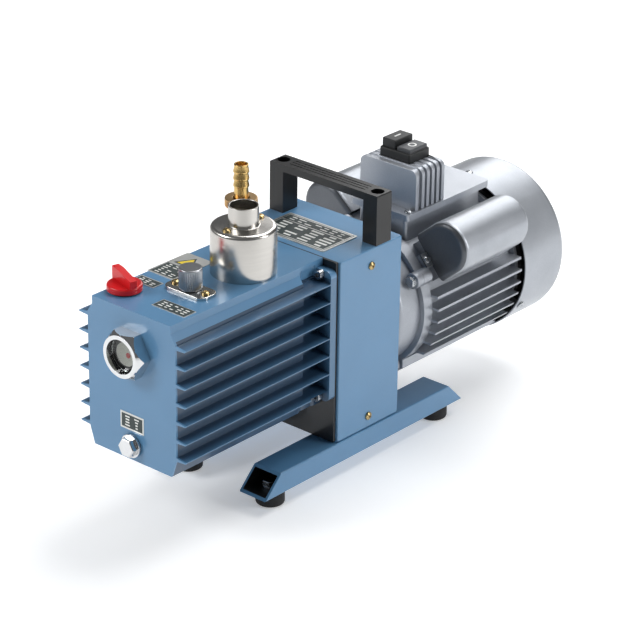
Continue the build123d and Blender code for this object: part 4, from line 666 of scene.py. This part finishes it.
def fastener_tree():
    """Geometry nodes: a fastener on every seat, along the seat's facing, each at a turn of its own."""
    made, asked = geometry_tree("set_of_fasteners", (
        ("Seats", "Geometry"), ("Fastener", "Object"), ("Seed", "Int"), ("Metal", "Material")), "Fasteners")
    shape = add(made, "GeometryNodeObjectInfo", {}, {"Object": asked["Fastener"]})
    facing = add(made, "GeometryNodeInputNamedAttribute", {"data_type": "FLOAT_VECTOR"}, {"Name": "facing"})
    aim = add(made, "FunctionNodeAlignRotationToVector", {"axis": "Z"},
              {"Vector": facing.outputs["Attribute"]})
    placed = add(made, "GeometryNodeInstanceOnPoints", {},
                 {"Points": asked["Seats"], "Instance": shape.outputs["Geometry"],
                  "Rotation": aim.outputs[0]})
    driven = add(made, "FunctionNodeRandomValue", {"data_type": "FLOAT_VECTOR"},
                 {"Min": (0, 0, 0), "Max": (0, 0, pi / 2), "Seed": asked["Seed"]})
    turned_in = add(made, "GeometryNodeRotateInstances", {},
                    {"Instances": placed.outputs[0], "Rotation": driven.outputs[0]})
    return end_tree(made, turned_in, asked["Metal"])


fasteners = fastener_tree()


def fastener_set(name, head, seats, metal, seed):
    """A piece made of one fastener on each seat; a seat is its place and its outward direction."""
    mesh = bpy.data.meshes.new(name)
    mesh.from_pydata([place for place, facing in seats], [], [])
    facing = mesh.attributes.new("facing", "FLOAT_VECTOR", "POINT")
    for index, (place, way) in enumerate(seats):
        facing.data[index].vector = way
    piece = bpy.data.objects.new(name, mesh)
    scene.collection.objects.link(piece)
    worked(piece, fasteners, {"Fastener": head, "Seed": seed, "Metal": metal})
    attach(piece, "pump_body")
    return piece


yellow_zinc = bright_plate("yellow_passivated_zinc", "#cdb88a", "#9c8452", 0.26, 1.5 * mm)
clear_zinc = bright_plate("clear_passivated_zinc", "#c3c6c9", "#a2a5a9", 0.24, 1.5 * mm)
screw_r = 2.0 * mm
screw_shank = 5 * mm
up = Vector((0, 0, 1))
plate_t = 3.0 * mm
plate_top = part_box("ballast_plate")[0].z + plate_t
cover_low, cover_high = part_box("side_covers")
bracket_low, bracket_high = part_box("bracket")
exhaust_reach = 22.5 * mm
plate_reach = 18.6 * mm
cover_screw_heights = (bracket_low.z + 12.8 * mm, bracket_high.z - 17.0 * mm)
cover_y = (cover_low.y + cover_high.y) / 2
brass_seats = [((can_x, can_y + way * exhaust_reach, can_low.z + shoulder), up) for way in (-1, 1)]
brass_seats += [((knob_place.x + way * plate_reach, knob_place.y, plate_top), up) for way in (-1, 1)]
brass_seats += [((x, cover_y, z), (way, 0, 0)) for x, way in ((cover_low.x, -1), (cover_high.x, 1))
                for z in cover_screw_heights]
short_screw = screw_head("pan_head_pattern", screw_r, screw_shank)
brass_screws = fastener_set("brass_plated_screws", short_screw, brass_seats, yellow_zinc, 3)
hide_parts("brass_screws")

shaft_z = 130.8 * mm
cowl_r = 82 * mm
cowl_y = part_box("fan_cowl")[0].y + 8 * mm
motor_seats = []
for angle in (90, 210, 330):
    way = Vector((cos(radians(angle)), 0, sin(radians(angle))))
    motor_seats.append((Vector((0, cowl_y, shaft_z)) + way * cowl_r, way))
covers_low, covers_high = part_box("capacitor_covers")
lug_hole = 4.5 * mm
frame_r = 76.0        # mm, as are the next two
cover_gap = 0.3
cover_sheet = 1.5
seat_reach = (frame_r + cover_gap + cover_sheet) * mm
for angle in (40, 140):
    way = Vector((cos(radians(angle)), 0, sin(radians(angle))))
    for y in (covers_low.y + lug_hole, covers_high.y - lug_hole):
        motor_seats.append((Vector((0, y, shaft_z)) + way * seat_reach, way))
pad_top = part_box("terminal_box")[0].z
pad_x = 31 * mm
pad_y = 86 * mm
motor_seats += [((way * pad_x, pad_y, pad_top), up) for way in (-1, 1)]
motor_screws = fastener_set("zinc_plated_screws", short_screw, motor_seats, clear_zinc, 8)
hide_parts("motor_screws")
bpy.data.objects.remove(short_screw)

# ------------------------------ bolts
# Hexagon bolts and nuts with washers under the rails and round the motor, and socket screws through the
# case's flange and down the handle: all rolled steel in clear zinc.
for node, edge in (("frame_bolts", 0.25 * mm), ("shield_bolts", 0.25 * mm), ("socket_screws", 0.25 * mm),
                   ("pump_bolts", 0), ("exhaust_valve", 0)):
    skin(node, clear_zinc, edge=edge)
skin("vane_springs", clear_zinc, body="rotor", edge=0)

# ------------------------------ motor castings and sheet
# The frame and shields are die-cast aluminium, the cowl and capacitor covers pressed steel, all sprayed in
# silver-grey aluminium paint, whose fine flakes turn towards the light and darken away from it.
paint_cloud = 30 * mm       # spacing of the faint clouds in the silver


def flake_paint(name, light, dark, flake, skin_scale, skin_depth):
    """Aluminium flake paint over cast or pressed metal: flakes too fine to see are drawn a little coarse."""
    made, tree, shader = surface(name, {"Metallic": 0.72, "Coat Weight": 0.15, "Coat Roughness": 0.2})
    where = add(tree, "ShaderNodeTexCoord").outputs["Object"]
    flakes = add(tree, "ShaderNodeTexVoronoi", {}, {"Vector": where, "Scale": 1 / flake})
    flake_tone = add(tree, "ShaderNodeSeparateColor", {}, {"Color": flakes.outputs["Color"]})
    clouds = add(tree, "ShaderNodeTexNoise", {}, {"Vector": where, "Scale": 1 / paint_cloud, "Detail": 2.0})
    blend = add(tree, "ShaderNodeMath", {"operation": "MULTIPLY_ADD"},
                {0: flake_tone.outputs[0], 1: 0.35, 2: clouds.outputs["Fac"]})
    pattern_sets(tree, shader, blend.outputs[0], (dark, light))
    pattern_sets(tree, shader, flake_tone.outputs[1], None, (0.34, 0.46))
    skin_noise = add(tree, "ShaderNodeTexNoise", {},
                     {"Vector": where, "Scale": 1 / skin_scale, "Detail": 3.0})
    pattern_sets(tree, shader, skin_noise.outputs["Fac"], None, None, (0.3, skin_depth))
    return made


cast_silver = flake_paint("silver_paint_on_casting", "#a9adb4", "#93979e", 0.5 * mm, 1.6 * mm, 0.18 * mm)
sheet_silver = flake_paint("silver_paint_on_sheet", "#aeb2b8", "#989ca3", 0.5 * mm, 4 * mm, 0.05 * mm)
for node, edge in (("front_shield", 0.5 * mm), ("motor_frame", 0.4 * mm), ("terminal_box", 0.6 * mm)):
    skin(node, cast_silver, edge=edge)
cover_pair = skin("capacitor_covers", sheet_silver, edge=0)
# the capacitor covers' front ends take a darker silver: painted shade on faces turned away from the light
shade_painted_silver = flake_paint("silver_paint_in_shade", "#64676c", "#54575c", 0.5 * mm, 4 * mm, 0.05 * mm)
cover_pair.data.materials.append(shade_painted_silver)
forwards = -0.5      # a face whose normal has less along y looks to the front
cover_front = covers_low.y + 14 * mm
for face in cover_pair.data.polygons:
    if face.normal.y < forwards and face.center.y < cover_front:
        face.material_index = 1
cowl = skin("fan_cowl", sheet_silver, edge=0)
# the cowl's inside is painted black, painted shade showing in the gap behind its lip, and the rear shield is
# black
cowl.data.materials.append(black_enamel)
cowl_inside = cowl_r - 3 * mm
cowl_back = cowl_y + 10 * mm
for face in cowl.data.polygons:
    outwards = Vector((face.center.x, 0, face.center.z - shaft_z))
    inner = face.normal.dot(outwards) < -0.2 * outwards.length and outwards.length > cowl_inside
    if inner or face.normal.y < forwards and face.center.y > cowl_back:
        face.material_index = 1
skin("rear_shield", black_enamel, edge=0)

# ------------------------------ cable gland and switch
# A nylon gland on the terminal box, and a two-button switch: the raised button starts the pump, the lower
# one stops it. Their marks are inlaid in white, a bar and a ring.
matt_nylon = moulded("black_nylon_matt", "#18191a", "#222324", 0.8 * mm, 0.45, 0.03 * mm)
grey_nylon = moulded("grey_nylon", "#3a3c3f", "#44464a", 0.8 * mm, 0.4, 0.03 * mm)
skin("cable_gland", matt_nylon, edge=0.4 * mm)
skin("switch_body", matt_nylon, edge=0.5 * mm)
skin("button_on", matt_nylon, body="button_on", edge=0.6 * mm)
skin("button_off", grey_nylon, body="button_off", edge=0.6 * mm)
white_ink = moulded("white_inlay", "#d9dad8", "#e6e6e3", 1 * mm, 0.5, 0.01 * mm)
inlay = 0.15 * mm
on_low, on_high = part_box("button_on")
off_low, off_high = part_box("button_off")
bar_mark = bpy.data.objects.new("on_mark", bpy.data.meshes.new("on_mark"))
scene.collection.objects.link(bar_mark)
shape = bmesh.new()
on_top = Matrix.Translation(((on_low.x + on_high.x) / 2, (on_low.y + on_high.y) / 2, on_high.z))
bar_size = Matrix.Diagonal((1.8 * mm, 9 * mm, 2 * inlay, 1))
bmesh.ops.create_cube(shape, size=1.0, matrix=on_top @ bar_size)
bmesh.ops.bevel(shape, geom=shape.edges[:], offset=0.1 * mm, segments=2, affect="EDGES")
shape.to_mesh(bar_mark.data)
shape.free()
bar_mark.data.materials.append(white_ink)
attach(bar_mark, "button_on")
off_top = ((off_low.x + off_high.x) / 2, (off_low.y + off_high.y) / 2, off_high.z)
ring_bore = 2.9 * mm
ring_r = 4.5 * mm
ring_mark = turned("off_mark", rounded([
    (ring_bore, -inlay, 0), (ring_r, -inlay, 0), (ring_r, inlay, 0.1 * mm), (ring_bore, inlay, 0.1 * mm)]),
    white_ink, off_top, steps=48)
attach(ring_mark, "button_off")

# ------------------------------ labels and rating plate
# Aluminium foil labels and an etched rating plate, printed in dark ink. Whatever was written on them is
# left out: rows of plain bars stand where lines of print were.
label_foil = bright_plate("printed_aluminium_foil", "#dadbd8", "#c8c9c6", 0.4, 9 * mm)
skin("label_plates", label_foil, edge=0)
dark_ink = moulded("dark_label_ink", "#2f3a3a", "#3a4545", 4 * mm, 0.45, 0.01 * mm)
white_print = moulded("white_label_ink", "#e2e4e0", "#eceeea", 2 * mm, 0.5, 0.01 * mm)
yellow_ink = moulded("yellow_label_ink", "#e0c320", "#ead03c", 2 * mm, 0.45, 0.01 * mm)
ink_rise = 0.06 * mm


def inked(name, place, across, along, outlines, ink, layer=1):
    """Flat printed shapes on a face: outlines in millimetres along two directions from a middle point."""
    shape = bmesh.new()
    out = across.cross(along)
    for outline in outlines:
        rings = []
        for rise in (-0.5 * ink_rise, layer * ink_rise):
            rings.append([shape.verts.new(place + across * u * mm + along * v * mm + out * rise)
                          for u, v in outline])
        shape.faces.new(rings[0])
        shape.faces.new(rings[1])
        for index in range(len(outline)):
            shape.faces.new((rings[0][index - 1], rings[0][index], rings[1][index], rings[1][index - 1]))
    bmesh.ops.recalc_face_normals(shape, faces=shape.faces)
    mesh = bpy.data.meshes.new(name)
    shape.to_mesh(mesh)
    shape.free()
    mesh.materials.append(ink)
    piece = bpy.data.objects.new(name, mesh)
    scene.collection.objects.link(piece)
    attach(piece, "pump_body")


def frame_of(width, height, u=0.0, v=0.0):
    """Corners of an upright rectangle round (u, v)."""
    return [(u + a * width / 2, v + b * height / 2) for a, b in ((-1, -1), (1, -1), (1, 1), (-1, 1))]


def print_tree():
    """Geometry nodes: rows of printed bars of uneven length, some left out, laid on a face."""
    made, asked = geometry_tree("rows_of_print", (
        ("Page", "Geometry"), ("Rows", "Int"), ("Columns", "Int"), ("Width", "Float"), ("Height", "Float"),
        ("Bar Height", "Float"), ("Kept", "Float"), ("Seed", "Int"), ("Place", "Vector"),
        ("Turn", "Rotation"), ("Ink", "Material")), "Print")
    sheet = add(made, "GeometryNodeMeshGrid", {}, {
        "Size X": asked["Width"], "Size Y": asked["Height"],
        "Vertices X": asked["Columns"], "Vertices Y": asked["Rows"]})
    kept = add(made, "FunctionNodeRandomValue", {"data_type": "BOOLEAN"},
               {"Probability": asked["Kept"], "Seed": asked["Seed"]})
    pitch = add(made, "ShaderNodeMath", {"operation": "DIVIDE"},
                {0: asked["Width"], 1: asked["Columns"]})
    bar = add(made, "GeometryNodeMeshCube")
    size = add(made, "ShaderNodeCombineXYZ", {},
               {0: pitch.outputs[0], 1: asked["Bar Height"], 2: 4 * ink_rise})
    made.links.new(size.outputs[0], bar.inputs["Size"])
    laid = add(made, "GeometryNodeInstanceOnPoints", {},
               {"Points": sheet.outputs["Mesh"], "Selection": kept.outputs[3],
                "Instance": bar.outputs["Mesh"]})
    uneven = add(made, "FunctionNodeRandomValue", {"data_type": "FLOAT_VECTOR"},
                 {"Min": (0.45, 0.8, 1), "Max": (1.05, 1, 1), "Seed": asked["Seed"]})
    sized = add(made, "GeometryNodeScaleInstances", {},
                {"Instances": laid.outputs[0], "Scale": uneven.outputs[0]})
    set_down = add(made, "GeometryNodeTransform", {},
                   {"Geometry": sized.outputs[0], "Translation": asked["Place"], "Rotation": asked["Turn"]})
    return end_tree(made, set_down, asked["Ink"])


rows_of_print = print_tree()


def printed(name, place, rows, columns, width, height, bar, ink, seed, kept=0.9, turn=(0, 0, 0)):
    """Rows of bars in one ink, centred on a place; sizes in millimetres."""
    piece = bpy.data.objects.new(name, bpy.data.meshes.new(name))
    scene.collection.objects.link(piece)
    worked(piece, rows_of_print, {
        "Rows": rows, "Columns": columns, "Width": width * mm, "Height": height * mm, "Bar Height": bar * mm,
        "Kept": kept, "Seed": seed, "Place": place, "Turn": turn, "Ink": ink})
    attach(piece, "pump_body")


case_top = 225.6 * mm
label_t = 0.4 * mm
rating_seat = 224.7 * mm
rating_t = 0.8 * mm
label_top = case_top + label_t
across, along, out = Vector((1, 0, 0)), Vector((0, 1, 0)), Vector((0, 0, 1))
filler_label = Vector((-32.6 * mm, -210 * mm, label_top))
warning_label = Vector((-34 * mm, -165 * mm, label_top))
ballast_label = Vector((25 * mm, -235.5 * mm, label_top))
drain_label = Vector((0, -265.4 * mm, 113.9 * mm))
rating_plate = Vector((-2.5 * mm, -25 * mm, rating_seat + rating_t))
inked("filler_label_field", filler_label, across, along, [frame_of(25.4, 11.6)], dark_ink)
printed("filler_label_print", filler_label, 3, 3, 15, 6.2, 1.5, white_print, 5)
inked("ballast_label_field", ballast_label, across, along, [frame_of(38.6, 14.6)], dark_ink)
printed("ballast_label_print", ballast_label, 3, 5, 27, 7.2, 1.6, white_print, 9)
inked("drain_label_field", drain_label, across, out, [frame_of(26.1, 13.4)], dark_ink)
printed("drain_label_print", drain_label, 4, 2, 11.5, 8.6, 1.5, white_print, 12, 1.0, (pi / 2, 0, 0))
inked("warning_strip", warning_label, across, along, [frame_of(29, 24, 0, -13)], dark_ink)
printed("warning_print", warning_label - along * 13 * mm, 6, 3, 17, 19, 1.5, white_print, 21)
sign_side = 23.0      # mm
inked("warning_border", warning_label + along * 12 * mm, across, along,
      [[(-sign_side / 2, -sign_side * 0.4), (sign_side / 2, -sign_side * 0.4), (0, sign_side * 0.46)]],
      dark_ink)
inked("warning_sign", warning_label + along * 12 * mm, across, along,
      [[(-sign_side * 0.37, -sign_side * 0.33), (sign_side * 0.37, -sign_side * 0.33),
        (0, sign_side * 0.32)]], yellow_ink, 2)
inked("rating_border", rating_plate, across, along,
      [frame_of(80, 0.7, 0, 22.6), frame_of(80, 0.7, 0, -22.6), frame_of(0.7, 44.5, -40.1, 0),
       frame_of(0.7, 44.5, 40.1, 0)], dark_ink)
inked("rating_header", rating_plate, across, along, [frame_of(77, 11, 0, 15.4)], dark_ink)
printed("rating_header_print", rating_plate + along * 15.4 * mm, 2, 7, 60, 4.6, 1.8, white_print, 31)
inked("rating_field", rating_plate, across, along, [frame_of(77, 29, 0, -6)], dark_ink)
printed("rating_rows", rating_plate - along * 6 * mm, 5, 4, 57, 22.4, 3.0, white_print, 44)

# ------------------------------ pump module inside the case
# Two iron stages between iron plates, ground where they seal, and dark with oil. Each rotor carries two
# fibre vanes thrown out by springs.
oiled_iron = bright_plate("oiled_cast_iron", "#54524e", "#3a3836", 0.34, 2.5 * mm)
for node in ("high_stage_stator", "low_stage_stator", "centre_plate", "pump_front_cover", "pump_rear_cover"):
    skin(node, oiled_iron, edge=0)
for node in ("high_stage_rotor", "low_stage_rotor"):
    skin(node, oiled_iron, body="rotor", edge=0)
fibre = moulded("fibre_laminate", "#4a2f1b", "#5b3c22", 0.5 * mm, 0.5, 0.05 * mm)
skin("vanes", fibre, body="rotor", edge=0)
felt = moulded("wool_felt", "#b9b4a4", "#d1ccbd", 0.6 * mm, 0.92, 0.4 * mm)
skin("exhaust_filter", felt, edge=0)

# ------------------------------ coupling, bearings and fan
# Cast aluminium coupling halves either side of the rubber spider, chrome-steel bearings, and a moulded
# nylon fan on the motor's tail.
cast_aluminium = bright_plate("cast_aluminium", "#a5a7a9", "#8f9193", 0.42, 2 * mm)
skin("coupling_halves", cast_aluminium, body="rotor", edge=0)
bearing_steel = bright_plate("ground_bearing_steel", "#c9cacc", "#b9babc", 0.12, 4 * mm)
for node, body in (("bearing_outer_rings", "pump_body"), ("bearing_inner_rings", "rotor"),
                   ("bearing_balls", "ball_sets")):
    skin(node, bearing_steel, body=body, edge=0)
skin("cooling_fan", matt_nylon, body="rotor", edge=0)

# ------------------------------ motor core, windings and capacitors
# Stacked electrical steel, its sheets drawn a little thick so they show, copper varnished a dark orange,
# and drawn aluminium capacitor cans.
sheet_pitch = 1.0 * mm
stacked_steel, tree, shader = surface("stacked_electrical_steel", {"Metallic": 0.9, "Roughness": 0.45})
where = add(tree, "ShaderNodeTexCoord").outputs["Object"]
sheets = add(tree, "ShaderNodeTexWave", {"bands_direction": "Y"},
             {"Vector": where, "Scale": pi / 10 / sheet_pitch, "Distortion": 0.2})
pattern_sets(tree, shader, sheets.outputs["Fac"], ("#4c4d50", "#8a8c90"), None, (0.4, 0.1 * mm))
skin("stator_core", stacked_steel, edge=0)
skin("motor_rotor", stacked_steel, body="rotor", edge=0)
wire_pitch = 1.4 * mm
varnished_copper, tree, shader = surface("varnished_copper", {"Metallic": 0.85, "Coat Weight": 0.6})
where = add(tree, "ShaderNodeTexCoord").outputs["Object"]
from_shaft = add(tree, "ShaderNodeVectorMath", {"operation": "SUBTRACT"}, {0: where, 1: (0, 0, shaft_z)})
wires = add(tree, "ShaderNodeTexWave", {"wave_type": "RINGS", "rings_direction": "Y"},
            {"Vector": from_shaft.outputs[0], "Scale": pi / 10 / wire_pitch, "Distortion": 1.5})
pattern_sets(tree, shader, wires.outputs["Fac"], ("#6d3013", "#b0602c"), (0.4, 0.25), (0.5, 0.3 * mm))
skin("stator_windings", varnished_copper, edge=0)
drawn_aluminium = bright_plate("drawn_aluminium", "#c3c5c8", "#b0b2b5", 0.3, 7 * mm)
skin("capacitors", drawn_aluminium, edge=0)
